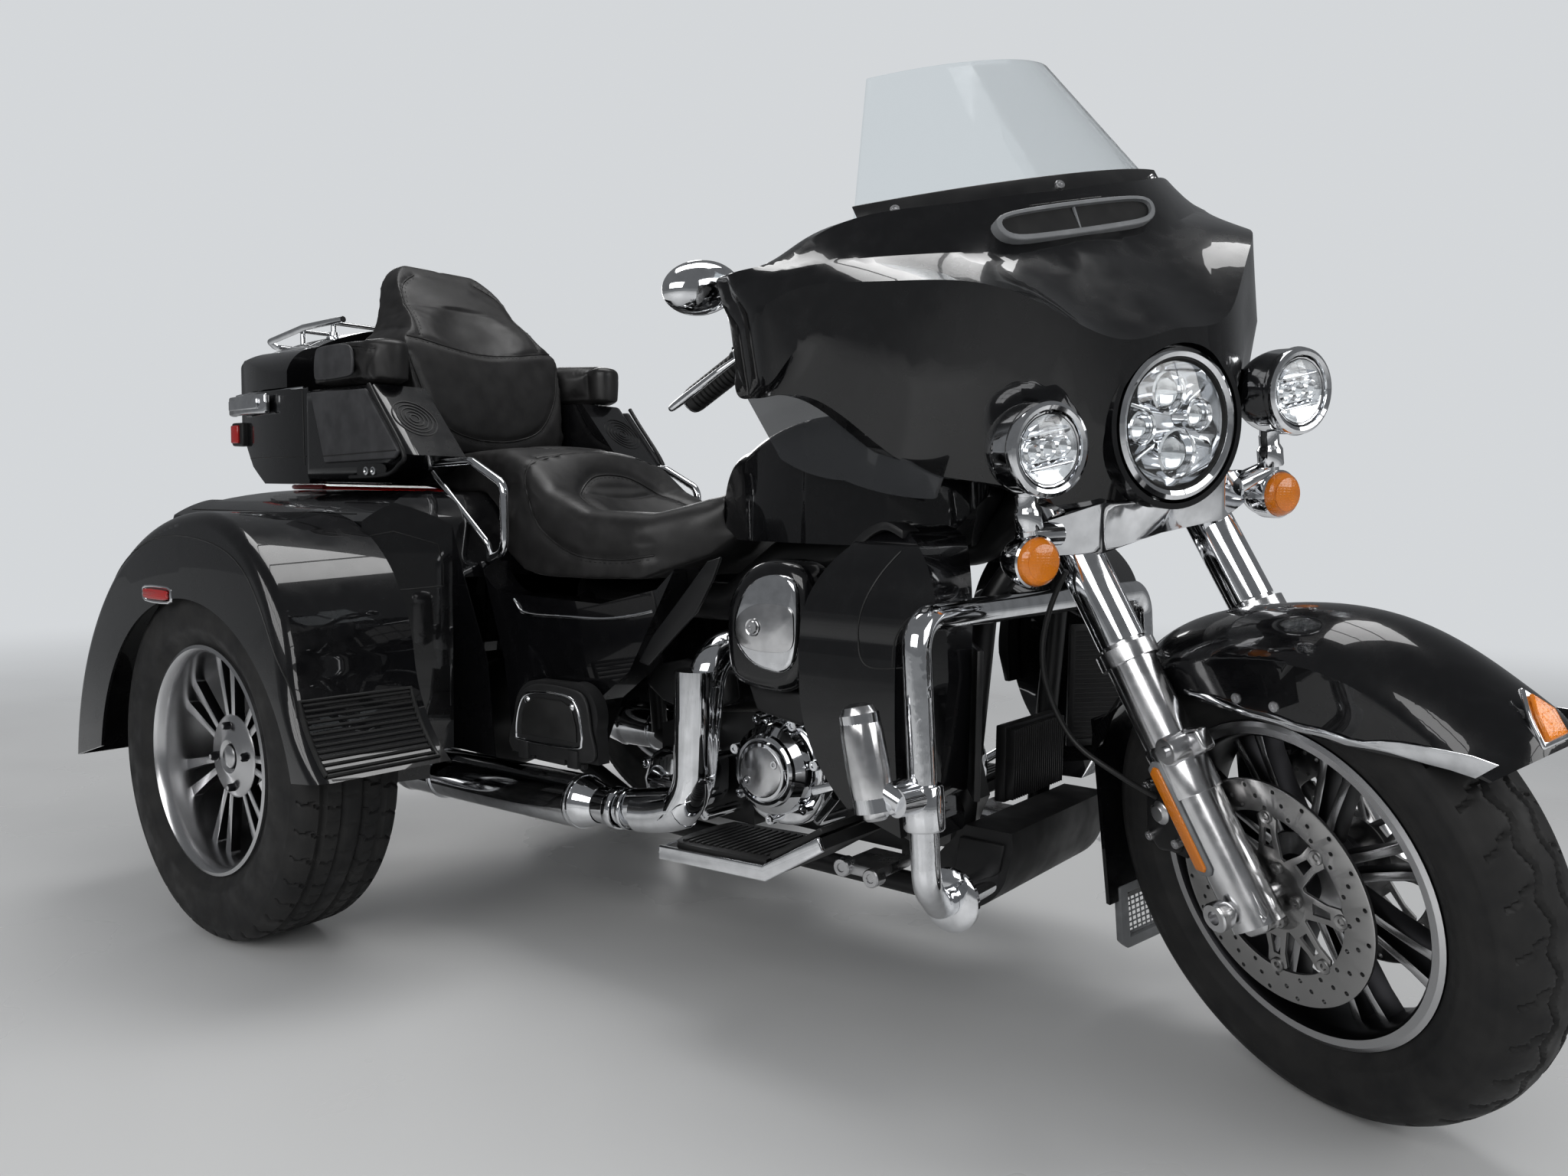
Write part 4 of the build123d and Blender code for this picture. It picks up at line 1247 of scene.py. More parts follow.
rings, faces, marks = [], [], []
for y, height, radius in ((-58, 1100, 44), (58, 1100, 44), (-128, 1122, 21), (128, 1122, 21), (-128, 1072, 21),
    (128, 1072, 21)):
    at = on_panel(y, height)
    rings.append(turned("dial_ring", ((radius, -2), (radius + 5, 0), (radius + 4, 7), (radius, 8),
        (radius - 3, 4), (radius, -2)), at, PANEL_WAY, 40))
    faces.append(turned("dial_face", ((0, 2.5), (radius - 1, 2.5), (radius - 1, -1), (0, -1)), at, PANEL_WAY,
        32))
    across, upward = Vector(LEFT), PANEL_WAY.cross(Vector(LEFT))
    for tick in range(13):
        turn = radians(-135 + tick * 22.5)
        out = across * sin(turn) - upward * cos(turn)
        foot = Vector(at) + PANEL_WAY * 3
        marks.append(pipe("tick", [foot + out * radius * 0.76, foot + out * radius * 0.9], radius / 44, 0, 0))
    marks.append(pipe("needle", [Vector(at) + PANEL_WAY * 4.5,
        Vector(at) + PANEL_WAY * 4.5 + (-across * 0.7 + upward * 0.5) * radius * 0.8], radius / 36, 0, 1))
for y in (-196, 196):
    at = on_panel(y, 1086)
    for radius in (12, 20, 28, 36):
        rings.append(turned("grille_ring", ((radius - 1.5, -2), (radius + 1.5, -2), (radius + 1, 3),
            (radius - 1, 3), (radius - 1.5, -2)), at, PANEL_WAY, 32))
    faces.append(turned("speaker_face", ((0, 1), (8, 3), (9, 1), (38, 0), (42, 4), (42, -2), (0, -2)), at,
        PANEL_WAY, 40))
place(joined("dial_rings", rings), chrome, "steering")
place(joined("dial_faces", faces), dial_dark, "steering")
place(joined("dial_marks", marks), dial_mark, "steering")
place(plate("screen", [(1150, -62, 1036), (1150, 62, 1036), (1174, 62, 988), (1174, -62, 988)], (-7, 0, -3), 2),
    smoked_clear, "steering")
print("instruments", len(rings), "rings", len(marks), "marks")

# %% [markdown]
# ## Front fender
# The fender has a chrome strip along its lower edge that widens towards the tip, where a small
# amber marker lamp sits in a chrome frame. The flap behind the wheel has a grey frame with mesh.

# %% Fender trim, tip lamp and flap
def fender_low(angle):
    """Radius of the fender's lower edge at an angle round the axle."""
    table = ((38.5, 380), (47, 326), (60, 270), (75, 242), (93, 236), (112, 258), (130, 300), (146, 322),
        (161, 338))
    for (a, low_a), (b, low_b) in zip(table, table[1:]):
        if a <= angle <= b:
            return low_a + (low_b - low_a) * (angle - a) / (b - a)
    return 338


def round_wheel(angle, radius, y):
    """A point round the front axle."""
    return Vector(around(WHEELBASE, FRONT_AXLE_Z, radius, angle, y))


fender = solid_copy("front_fender", "fender_shell", True)
strip_low = [round_wheel(a, fender_low(a) + 1, -84) for a in range(40, 118, 3)]
strip_high = [round_wheel(a, fender_low(a) + (34 if a < 44 else 34 - (a - 44) * 1.6 if a < 58 else 11),
    -84) for a in range(115, 39, -3)]
place_pair(plate("fender_trim_right", strip_low + strip_high, (0, -2.2, 0), 0.8), chrome, "steering")
screws = [screw_at(dropped(fender, [(x, 0, z)], LEFT)[0], RIGHT, 7, 2.5) for x, z in ((1641, 573), (1700, 575))]
place_pair(joined("fender_screws_right", screws), steel, "steering")
discard(fender)
lens_way = round_wheel(42, 6, 0) - round_wheel(42, 0, 0)
place(plate("tip_lamp_frame", [round_wheel(39.3, 400, -22), round_wheel(39.3, 400, 22),
    round_wheel(44, 409, 19), round_wheel(48.5, 411, 0), round_wheel(44, 409, -19)], lens_way * 1.4, 3, 3),
    chrome, "steering")
place(plate("tip_lamp_lens", [round_wheel(40, 408, -16), round_wheel(40, 408, 16), round_wheel(43.7, 416, 14),
    round_wheel(47, 417, 0), round_wheel(43.7, 416, -14)], lens_way, 2.5, 3), amber_lens, "steering")
flap = plate("flap_frame", [(1332, -60, 190), (1332, 60, 190), (1332, 66, 96), (1332, 56, 84), (1332, -56, 84),
    (1332, -66, 96)], (16, 0, 0), 3)
cut(flap, plate("flap_window", [(1300, -46, 178), (1300, 46, 178), (1300, 50, 102), (1300, -50, 102)],
    (60, 0, 0)))
wires = []
for number in range(9):
    wires.append(pipe("wire", [(1340, -50, 104 + number * 9), (1340, 50, 104 + number * 9)], 1.6, 0, 0))
for number in range(11):
    wires.append(pipe("wire", [(1340, -45 + number * 9, 98), (1340, -45 + number * 9, 184)], 1.6, 0, 0))
place(joined("flap_frame", [flap] + wires), soft_grey, "steering")
print("fender dressed")

# %% [markdown]
# ## Leg shields, radiators and guard
# The leg shield is a glove box: the gap round its door is a dark cord of painted shade, drawn as a line from
# the side and dropped onto the curved shell, so that it follows the shell's rounding.

# %% Leg shields
DOOR_LINE = eased([(1196, -400, 722), (1176, -400, 690), (1158, -400, 650), (1150, -400, 610),
    (1155, -400, 578), (1175, -400, 566), (1222, -400, 570)])
SCOOP_LINE = eased([(1206, -400, 570), (1208, -400, 604), (1228, -400, 634), (1252, -400, 645),
    (1272, -400, 640)])
for side, body_side in SIDES:
    shell = solid_copy("lower_fairing_" + body_side, "shell")
    # Dark cords along the door and scoop lines: painted shade of the gaps.
    gap_shade_cords = [seam(shell, [(p.x, -side * p.y, p.z) for p in line],
        (0, -side, 0)) for line in (DOOR_LINE, SCOOP_LINE)]
    discard(shell)
    place(joined("glove_box_gap_" + body_side, gap_shade_cords), hose_rubber)
BAND_OUT = eased([(1050, 0, 520), (1050, 0, 560), (1064, 0, 662), (1110, 0, 732), (1158, 0, 761),
    (1196, 0, 748)])
BAND_IN = eased([(1192, 0, 738), (1158, 0, 749), (1120, 0, 722), (1080, 0, 656), (1068, 0, 560),
    (1074, 0, 470)])
place_pair(plate("shield_edge_right", [(p.x, -298, p.z) for p in BAND_OUT[:-1] + BAND_IN] + [(1064, -298, 470)],
    (0, 44, 0), 2, 2), satin_black)
print("leg shields done")

# %% [markdown]
# Behind the front wheel sit two slanting radiators and an oil cooler. A few helpers measure
# along a radiator's own face, so that its frame and fins need no turning.

# %% Radiators and oil cooler
corner, slant = Vector((1290, -266, 0)), Vector((-78, 106, 0)).normalized()


def on_core(along, height, out):
    """A point on the slanting radiator: mm along it, height, mm in front of it."""
    return corner + slant * along + Vector((slant.y, -slant.x, 0)) * out + Vector((0, 0, height))


def core_plate(name, start, end, low, high, out, thick):
    """A flat plate on the radiator."""
    points = [on_core(s, h, out) for s, h in ((start, low), (start, high), (end, high), (end, low))]
    return plate(name, points, on_core(0, 0, thick) - on_core(0, 0, 0))


radiator = bevelled(core_plate("radiator_frame", 4, 118, 388, 592, 2, 9), 2)
cut(radiator, core_plate("window", 14, 108, 400, 580, -10, 40))
fins = row_of(core_plate("fin", 13, 109, 403, 405, 3, 6), "fins", 22, (0, 0, 8))
core = core_plate("core", 12, 110, 398, 582, 2, 2)
place_pair(joined("radiator_right", [radiator, fins, core]), satin_black)
cooler = brick("cooler_body", (1228, -88, 345), (1246, 88, 460), 3)
fin = brick("cooler_fin", (1244, -84, 350), (1258, -81.5, 455), 0.8)
fins = row_of(fin, "cooler_fins", 24, (0, 7.2, 0))
place(joined("oil_cooler", [cooler, fins]), satin_black)
print("radiators done")

# %% [markdown]
# Clamps hold the highway pegs on the engine guard. All of them are turned parts: a profile and
# an axis say everything about such a piece.

# %% Guard clamps, pegs and lower box
pieces = [
    turned("guard_clamp", ((19.2, -30), (25, -29), (27, -26), (27, 26), (25, 29), (19.2, 30), (19.2, -30)),
        (1280, -374, 402), (0.09, 0, -1), 36),
    turned("clamp_knob", ((0, 16), (9, 16), (10, 14), (14, 14), (19, 11), (21, 4), (21, -20), (0, -20)),
        (1262, -412, 418), RIGHT, 36),
    turned("clamp_screw", ((0, -22), (8, -22), (9, -20), (9, -12), (0, -12)), (1262, -374, 424), FORWARD, 6),
    turned("guard_foot", ((19.2, 0), (40, 0), (44, -4), (44, -10), (38, -14), (19.2, -15), (19.2, 0)),
        (1262, -262, 250), LEFT, 40)]
place_pair(joined("guard_clamp_right", pieces), chrome)
peg_low, peg_high = Vector((1243, -424, 388)), Vector((1209, -424, 532))
peg_way = (peg_high - peg_low).normalized()
place_pair(turned("peg_right", ((0, 0), (13, 1), (17, 5), (17, 12), (22, 18), (26, 30), (28, 60), (27.5, 110),
    (25, 134), (20, 145), (10, 149), (0, 150)), peg_low, peg_way, 40), aluminium)
place_pair(side_plate("lower_box_panel_right", -166, -5, [(1206, 224), (1250, 236), (1282, 268), (1290, 308),
    (1218, 308)], 4, 3), black_plastic)
bolts = [screw_at((x, -236, z), RIGHT, 14, 6, 16) for x, z in ((1060, 246), (1112, 240), (1198, 250))]
bolts.append(brick("board_arm", (1052, -234, 236), (1120, -140, 254), 4))
place_pair(joined("board_bolts_right", bolts), steel)
print("guard done")

# %% [markdown]
# ## Footboards
# The rider's board has a rubber pad with raised ribs and a chrome rim that follows its outer
# edge. The pad is drawn level and then tilted with all its ribs.

# %% Rider's boards
SLOPE = 10 / 198  # the rider's board rises towards its front
pad = plate("board_pad", eased([(850, -246, 0), (842, -300, 0), (850, -368, 0), (885, -386, 0), (1020, -386, 0),
    (1034, -372, 0), (1034, -250, 0), (1020, -240, 0), (870, -240, 0)], 4, True)[:-1], (0, 0, 9), 2)
ribs = row_of(brick("rib", (862, -372, 7), (868, -254, 11.5), 1), "ribs", 14, (12, 0, 0))
pad = joined("board_pad_right", [pad, ribs])
tilt = Matrix.Rotation(-atan(SLOPE), 4, "Y")
moved(pad, offset_by(838, 0, 268) @ tilt @ offset_by(-838, 0, 0))
place_pair(pad, hose_rubber)
place_pair(plate("toe_pad_right", [(1040, -382, 286), (1040, -244, 286), (1124, -248, 338), (1128, -300, 341),
    (1122, -372, 337)], (-5, 0, 8), 2), hose_rubber)
rim = side_plate("board_rim", -396, 8, [(834, 250), (1040, 259), (1138, 320), (1130, 339), (1034, 281),
    (834, 271)], 2.5, 3)
nose = pipe("board_nose", [(838, -390, 260), (829, -370, 260), (826, -310, 260), (832, -244, 260)], 7, 12, 2)
place_pair(joined("board_rim_right", [rim, nose]), chrome)
print("rider's boards done")

# %% [markdown]
# The passenger's board is folded up against the side: a pad inside a bright wire, on a hinged
# carrier. Rounded outlines are drawn with a few points and eased.

# %% Passenger's boards and pedals
step_shape = eased([(386, -306, 342), (394, -306, 402), (412, -306, 444), (452, -306, 464), (528, -306, 466),
    (578, -306, 454), (594, -306, 400), (599, -306, 348), (490, -306, 340)], 4, True)[:-1]
step = plate("passenger_pad_right", step_shape, (0, -7, 0), 3, 3)
hinge = [row_of(brick("hinge", (412, -318, 330), (438, -290, 362), 3), "hinges", 2, (128, 0, 0)),
    row_of(pipe("hinge_pin", [(404, -304, 334), (446, -304, 334)], 5, 0, 3), "pins", 2, (128, 0, 0)),
    brick("hinge_box", (452, -312, 330), (528, -296, 356), 4)]
place_pair(joined("passenger_pad_right", [step] + hinge), black_plastic)
loop = pipe("passenger_trim_right", eased([(404, -314, 372), (408, -314, 410), (424, -314, 440),
    (456, -314, 451), (526, -314, 453), (558, -314, 442), (572, -314, 404), (574, -314, 378), (556, -314, 366),
    (420, -314, 362)], 4, True), 3, 0, 2)
rivets = []
for x, z in ((432, 434), (546, 434)):
    rivets.append(turned("rivet", ((0, 3), (5, 2), (7, 0), (0, -1)), (x, -313, z), RIGHT, 16))
place_pair(joined("passenger_trim_right", [loop] + rivets), chrome, smooth=50)
place_pair(side_plate("passenger_insert_right", -313, -3, [(418, 374), (420, 408), (434, 432), (458, 441),
    (524, 443), (548, 434), (561, 402), (562, 376)], 1), hose_rubber)
pedal = [pipe("brake_arm", [(1000, -150, 300), (1010, -238, 306), (1092, -300, 372)], 8, 20),
    plate("brake_pad", [(1070, -330, 372), (1070, -262, 372), (1122, -266, 392), (1122, -326, 392)],
        (-4, 0, 12), 3)]
place(joined("brake_pedal", pedal), chrome)
shift = [pipe("shift_arm", [(1010, 150, 300), (1012, 250, 310), (1085, 262, 360)], 8, 20),
    pipe("shift_heel", [(1012, 250, 310), (880, 262, 330)], 7, 0)]
for x, z in ((1085, 360), (880, 330)):
    shift.append(turned("shift_peg", ((0, 0), (11, 1), (12, 4), (12, 42), (9, 46), (0, 47)), (x, 258, z), LEFT,
        20))
place(joined("shift_lever", shift), chrome)
print("boards and pedals done")

# %% [markdown]
# ## Engine
# The engine is a V twin with finned cylinders. The cylinders are CAD solids; what is added here
# are thin fins, the chrome rocker covers and the pushrod tubes. Both cylinders are drawn
# upright and then leaned to their angles.

# %% Rocker covers, pushrod tubes and lifter block
CYLINDERS = ((985, 25), (868, -22))
for number, (foot_x, lean) in enumerate(CYLINDERS):
    to_cylinder = offset_by(foot_x, 0, 432) @ Matrix.Rotation(radians(lean), 4, "Y")
    cover = side_plate("rocker", -78, 156, [(-58, 172), (58, 172), (58, 196), (46, 214), (-46, 214),
        (-58, 196)], 9, 4)
    lip = brick("rocker_lip", (-62, -82, 166), (62, 82, 176), 3)
    screws = [screw_at((x, y, 176), UP, 7, 5) for x in (-50, 50) for y in (-70, 0, 70)]
    place(moved(joined("rocker_cover_%d" % (number + 1), [cover, lip] + screws), to_cylinder), chrome)
    fins = row_of(brick("fin", (-64, -72, 7.5), (64, 72, 10), 0.8), "fins", 9, (0, 0, 13))
    place(moved(joined("cylinder_fins_%d" % (number + 1), [fins]), to_cylinder), satin_black)
tubes = []
for foot, head in (((905, -112, 400), (1012, -92, 575)), ((925, -112, 400), (1038, -92, 570)),
    ((872, -112, 400), (842, -92, 575)), ((890, -112, 400), (868, -92, 580))):
    tubes.append(pipe("pushrod_tube", [foot, head], 7, 0, 3))
    way = Vector(head) - Vector(foot)
    for at in (0.08, 0.5, 0.94):
        tubes.append(turned("tube_collar", ((7, -7), (10.5, -7), (11, -5), (11, 5), (10.5, 7), (7, 7), (7, -7)),
            Vector(foot) + way * at, way, 20))
tubes.append(side_plate("lifter_block", -150, 44, [(868, 396), (936, 396), (944, 424), (920, 440), (876, 440)],
    6, 3))
place(joined("pushrod_tubes", tubes), chrome)
print("cylinders dressed")

# %% [markdown]
# The covers over the cams, the gears and the clutch are polished castings. Each is a plate or a
# turned part whose edges are well rounded, because a cast edge is never sharp.

# %% Cam cover, transmission cover and case screws
CAM_X, CAM_Z = 881, 357
CAM = (CAM_X, 0, CAM_Z)
cover = turned("cam_cover_cap", ((0, -213), (46, -213), (48, -211), (50, -208), (54, -209), (58, -206),
    (60, -200), (72, -190), (75, -176), (75, -168), (0, -168)), CAM, LEFT, 64)
cap_screws = []
for angle in (30, 210):
    cap_screws.append(screw_at(around(CAM_X, CAM_Z, 32, angle, -214), RIGHT, 7, 2, 2))
for number in range(7):
    cap_screws.append(screw_at(around(CAM_X, CAM_Z, 84, number * 51 + 12, -182), RIGHT, 9, 2, 32))
place(joined("cam_cover_cap", [cover] + cap_screws), chrome, smooth=30)
place(turned("cam_cover_plate", ((0, -214.5), (38, -214.5), (41, -213.5), (41, -212), (0, -212)), CAM, LEFT,
    48), aluminium)
place(side_plate("timing_cover", -104, -64, [(812, 366), (830, 418), (900, 440), (960, 404), (970, 330),
    (930, 272), (850, 266), (815, 300)], 9, 4, ease=5), chrome)
trans = side_plate("transmission_cover", -212, 90, [(622, 268), (614, 306), (632, 352), (660, 366), (726, 366),
    (744, 344), (744, 288), (722, 262)], 14, 5)
badge = side_plate("transmission_badge", -216, 8, [(634, 280), (634, 300), (642, 310), (722, 310), (730, 300),
    (730, 282), (722, 274), (642, 272)], 2.5, 2)
screws = [screw_at((x, -200, z), RIGHT, 9, 3, 80) for x, z in ((612, 330), (618, 256), (752, 360), (752, 262),
    (690, 380))]
place(joined("transmission_cover", [trans] + screws), chrome, smooth=30)
place(badge, aluminium)
shroud = side_plate("starter_shroud", -168, 30, [(579, 461), (600, 498), (660, 512), (770, 500), (778, 452),
    (700, 418), (618, 436)], 8, 3)
slats = row_of(brick("slat", (676, -174, 462), (682, -166, 494), 1), "slats", 8, (11, 0, 0))
place(joined("starter_shroud", [shroud, slats]), black_plastic)
primary = side_plate("primary_cover", 104, 58, [(600, 330), (640, 400), (760, 420), (900, 440), (1040, 420),
    (1090, 340), (1050, 262), (900, 236), (680, 240), (612, 270)], 16, 4, ease=5)
derby = turned("clutch_cover", ((0, 178), (50, 177), (60, 172), (64, 164), (64, 150), (0, 150)), (740, 0, 330),
    LEFT, 56)
place(joined("primary_cover", [primary, derby]), chrome, smooth=30)
print("engine covers done")

# %% [markdown]
# The air cleaner is a rounded black box with a chrome shoulder and a plain satin plate. It
# replaces the CAD block of the same size, because the real one has no sharp edge anywhere.

# %% Air cleaner
box = side_plate("air_cleaner_box", -196, -84, [(858, 560), (860, 630), (890, 678), (935, 698), (990, 696),
    (1016, 668), (1020, 600), (1004, 528), (975, 503), (925, 500), (872, 514)], 22, 6, ease=4)
place(box, black_paint)
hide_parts("air_cleaner")
place(side_plate("air_cleaner_shoulder", -272, -16, [(882, 590), (900, 648), (940, 676), (994, 674),
    (1006, 630), (1000, 556), (970, 532), (912, 546)], 9, 4, ease=5), chrome, smooth=30)
face = side_plate("air_cleaner_plate", -286, -4.5, [(890, 592), (900, 618), (936, 634), (992, 632), (1002, 606),
    (996, 570), (950, 562), (904, 568)], 2, 2, ease=5)
screw = turned("air_screw", ((0, 4.5), (4, 4.5), (4.6, 6), (9, 6), (11, 3), (13, 4), (15, 0), (0, 0)),
    (926, -289, 598), RIGHT, 24)
place(joined("air_cleaner_plate", [face, screw]), aluminium)
place(side_plate("air_cleaner_foot", -206, -44, [(880, 506), (900, 462), (992, 448), (1012, 500)], 8, 3),
    black_plastic)
print("air cleaner done")

# %% [markdown]
# The pipes themselves are CAD solids. Their heat shield is a wider pipe on the same route, and
# turned bands, cones and tips cover the joints, as on the real machine.

# %% Exhaust shields, clamps and tips
def band_on(name, centre, way, radius, width):
    return turned(name, ((radius, -width), (radius + 2.5, -width), (radius + 3, -width + 1),
        (radius + 3, width - 1), (radius + 2.5, width), (radius, width), (radius, -width)), centre, way, 40)


TIP = ((35, -32), (38, -34), (40, -32), (47.5, 8), (47.5, 14), (46.2, 18), (46.2, 22), (35, -32))
CONE = ((31, 40), (33, 38), (46.5, -6), (47, -10), (46, -14), (31, 40))
for y, body_side in ((-290, "right"), (290, "left")):
    pieces = [band_on("clamp", (640, y, 273), (1, 0, 0.03), 32, 9),
        band_on("muffler_band", (170, y, 260.6), (1, 0, 0.024), 46, 3),
        turned("muffler_tip", TIP, (60, y, 258), (1, 0, 0.024), 40),
        turned("muffler_cone", CONE, (560, y, 270), (1, 0, 0.024), 40)]
    if body_side == "right":
        pieces += [band_on("clamp", (668, y, 276), (1, 0, 0.1), 32, 4),
            band_on("clamp", (803, -282, 350), UP, 31, 5),
            band_on("clamp", (803, -268, 500), (0, 0.1, 1), 31, 5),
            pipe("heat_shield", [(803, -284, 520), (803, -285, 308), (760, -288, 282), (690, -290, 275)],
                33, 46, 6)]
    place(joined("exhaust_shields_" + body_side, pieces), chrome)
print("exhaust dressed")

# %% [markdown]
# A narrow console with a filler cap runs along the top of the tank. Its outline is the tank's
# own middle line, found with `dropped` and raised a little.

# %% Mid-frame air deflectors and tank console
wing = side_plate("air_deflector", -268, -7, [(846, 700), (830, 664), (796, 610), (690, 515), (668, 520),
    (700, 566), (770, 640), (818, 692)], 2.5, 3)
place_pair(joined("air_deflector_right", [wing]), satin_black)
console = solid_copy("fuel_tank", "tank_top")
spine = range(728, 1176, 14)
rails = []
for half in (40, -40):
    line = [(x, half * (1 - abs(x - 950) / 500), 1000) for x in spine]
    rails.append(pipe("console_rail", dropped(console, line, DOWN, 14, 1), 2.4, 0, 2))
top = dropped(console, [(x, 0, 1000) for x in spine], DOWN, 14, 0)
discard(console)
outline = [(p.x, p.z + 9) for p in top] + [(p.x, p.z - 14) for p in reversed(top)]
place(side_plate("tank_console", -34, 68, outline, 7, 3), satin_black)
place(joined("console_rails", rails), chrome, smooth=50)
FILLER_X, FILLER_Z = 1010, top[20].z + 9
cap = turned("filler_cap", ((0, 16), (22, 15), (30, 11), (34, 5), (34, 0), (38, 0), (39, -2), (39, -8),
    (0, -8)), (FILLER_X, 0, FILLER_Z), (0.05, 0, 1), 48)
grips = []
for number in range(12):
    turn = radians(number * 30)
    foot = (FILLER_X + 31 * cos(turn), 31 * sin(turn), FILLER_Z)
    grips.append(turned("cap_grip", ((0, 13), (2, 12.5), (3, 10), (3, 2), (0, 2)), foot, UP, 10))
place(joined("filler_cap", [cap] + grips), chrome)
print("tank and deflectors done")

# %% [markdown]
# ## Rear body and luggage
# Rubber pads of parallel ribs protect the fenders' front faces. Each rib is a line dropped onto
# the painted surface, so it follows the rounded corner. Small red marker lamps in chrome rings
# sit on the sides.

# %% Fenders, their pads and markers
for side, body_side in SIDES:
    source = solid_copy("fender_" + body_side, "fender_" + body_side + "_shell")
    ribs = []
    for number in range(12):
        z = 362 + number * 8.6
        line = dropped(source, [(700, side * 672, z), (700, side * 480, z)], BACK, 12, 0.6)
        ribs.append(pipe("rib", line, 2.9, 0, 1))
    back = dropped(source, [(700, side * 676, 356), (700, side * 676, 463)], BACK, 12, 0.5)
    back += dropped(source, [(700, side * 476, 463), (700, side * 476, 356)], BACK, 12, 0.5)
    ribs.append(pipe("rib_frame", back + [back[0]], 4.2, 0, 2))
    place(joined("fender_pad_" + body_side, ribs), hose_rubber)
    # A dark cord along the arch: painted shade of the gap between fender and rear body.
    arch = eased([(-496, 0, 280), (-470, 0, 440), (-330, 0, 608), (-150, 0, 700), (40, 0, 712), (190, 0, 668),
        (286, 0, 540), (330, 0, 440)])
    gap = seam(source, [(p.x, side * 900, p.z) for p in arch], (0, -side, 0))
    gap.name = "fender_gap_" + body_side
    place(gap, hose_rubber)
    discard(source)
place_pair(side_plate("side_marker_right", -694, -6, [(-160, 609), (-154, 617), (-76, 617), (-70, 609),
    (-76, 600), (-154, 600)], 2, 2, ease=3), red_lens)
place_pair(pipe("marker_ring_right", eased([(-168, -694, 609), (-158, -694, 621), (-72, -694, 621),
    (-62, -694, 609), (-72, -694, 596), (-158, -694, 596)], 3, True), 3, 0, 2), chrome)
print("fenders dressed")

# %% [markdown]
# Dark cords of painted shade show the gaps where the fuel door and the trunk's panels end. The handle and the
# blank number plate ride on the trunk door, so they swing with it.

# %% Trunk
trunk = solid_copy("rear_body", "trunk")
face_start, face_way = Vector((150, -460, 0)), Vector((55, 158, 0)).normalized()
into = Vector((-0.944, 0.329, 0))
gap_shade_cords = []
door = [(18, 628), (18, 716), (60, 724), (140, 700), (150, 660), (150, 622), (60, 616)]
for side in (-1, 1):
    flip = Matrix.Scale(-side, 4, LEFT)
    loop = [flip @ (face_start + face_way * s - into * 300 + Vector((0, 0, z))) for s, z in door + door[:1]]
    gap_shade_cords.append(seam(trunk, loop, flip @ into))
    gap_shade_cords.append(seam(trunk, [(x, side * 440, 1100) for x in range(-520, 120, 30)], DOWN))
discard(trunk)
place(joined("trunk_gaps", gap_shade_cords), hose_rubber)
latch = [plate("trunk_handle", eased([(-612, -70, 640), (-612, 0, 648), (-612, 70, 640), (-612, 62, 622),
    (-612, 0, 616), (-612, -62, 622)], 4, True)[:-1], (-9, 0, 0), 3, 3)]
place(joined("trunk_handle", latch), chrome, "trunk_door_body")
place(plate("blank_plate", [(-611, -90, 500), (-611, 90, 500), (-611, 90, 596), (-611, -90, 596)], (-4, 0, 0),
    2), aluminium, "trunk_door_body")
lamps = []
for x, z in ((-588, 600), (-588, 560)):
    lamps.append(turned("tail_lamp", ((0, 8), (15, 7), (18, 3), (18, -14), (0, -14)), (x, -428, z), BACK, 28))
place_pair(joined("tail_lamp_right", lamps), red_lens)
print("trunk dressed")

# %% [markdown]
# The luggage box has a chrome line under its lid and latches. What belongs to the lid rides on
# the lid's body.

# %% Luggage box and latches
box = solid_copy("luggage_box", "box")
# Dark cords along the box's panel joints: painted shade of the gaps.
gap_shade_cords = []
for side in (-1, 1):
    gap_shade_cords.append(seam(box, [(-240 - h * 0.02, side * 500, h) for h in (1004, 960, 900, 850)], (0, -side, 0)))
    gap_shade_cords.append(seam(box, [(x, side * 500, 868) for x in (-540, -400, -250)], (0, -side, 0)))
discard(box)
place(joined("luggage_gaps", gap_shade_cords), hose_rubber)
lip = [(-x - 8, y, 1010) for x, y in ((560, -306), (606, -262), (622, -140), (624, 0), (622, 140), (606, 262),
    (560, 306))]
place(pipe("luggage_trim", eased([(-250, -334, 1010)] + lip + [(-250, 334, 1010)], 4), 2.4, 0, 2), chrome,
    smooth=50)
latch = [plate("latch", [(-578, -306, 962), (-562, -316, 962), (-400, -334, 962), (-384, -334, 962),
    (-384, -348, 962), (-470, -346, 962), (-572, -330, 962), (-588, -318, 962)], (0, 0, 42), 5, 3),
    plate("latch_bar", [(-556, -332, 972), (-410, -348, 972), (-410, -353, 972), (-556, -340, 972)], (0, 0, 22),
    3, 3)]
place_pair(joined("latch_right", latch), chrome)
print("luggage box trimmed")

# %% [markdown]
# Red lamps end the box at the back, and black pods carry speakers and sockets for headsets.

# %% Rear lamps, pods, speakers and rack feet
place_pair(brick("rear_marker_right", (-584, -320, 896), (-536, -292, 948), 5, 3), black_plastic)
place_pair(brick("rear_marker_lens_right", (-579, -325, 902), (-548, -317, 942), 3, 3), red_lens)
place(pipe("tail_strip", [(-300, -262, 806), (-452, -258, 806), (-452, 258, 806), (-300, 262, 806)], 5.5, 30,
    2), red_lens)
frame_line = eased([(8, -347, 1002), (36, -347, 968), (118, -347, 872), (104, -347, 846), (60, -347, 828),
    (-60, -347, 824)], 5)
place_pair(pipe("pod_edge_right", frame_line, 4.5, 0, 2), satin_black, smooth=50)
jack = [side_plate("jack_plate", -346, -4, [(-34, 836), (-20, 848), (50, 850), (64, 838), (50, 824),
    (-20, 822)], 1.5, ease=3)]
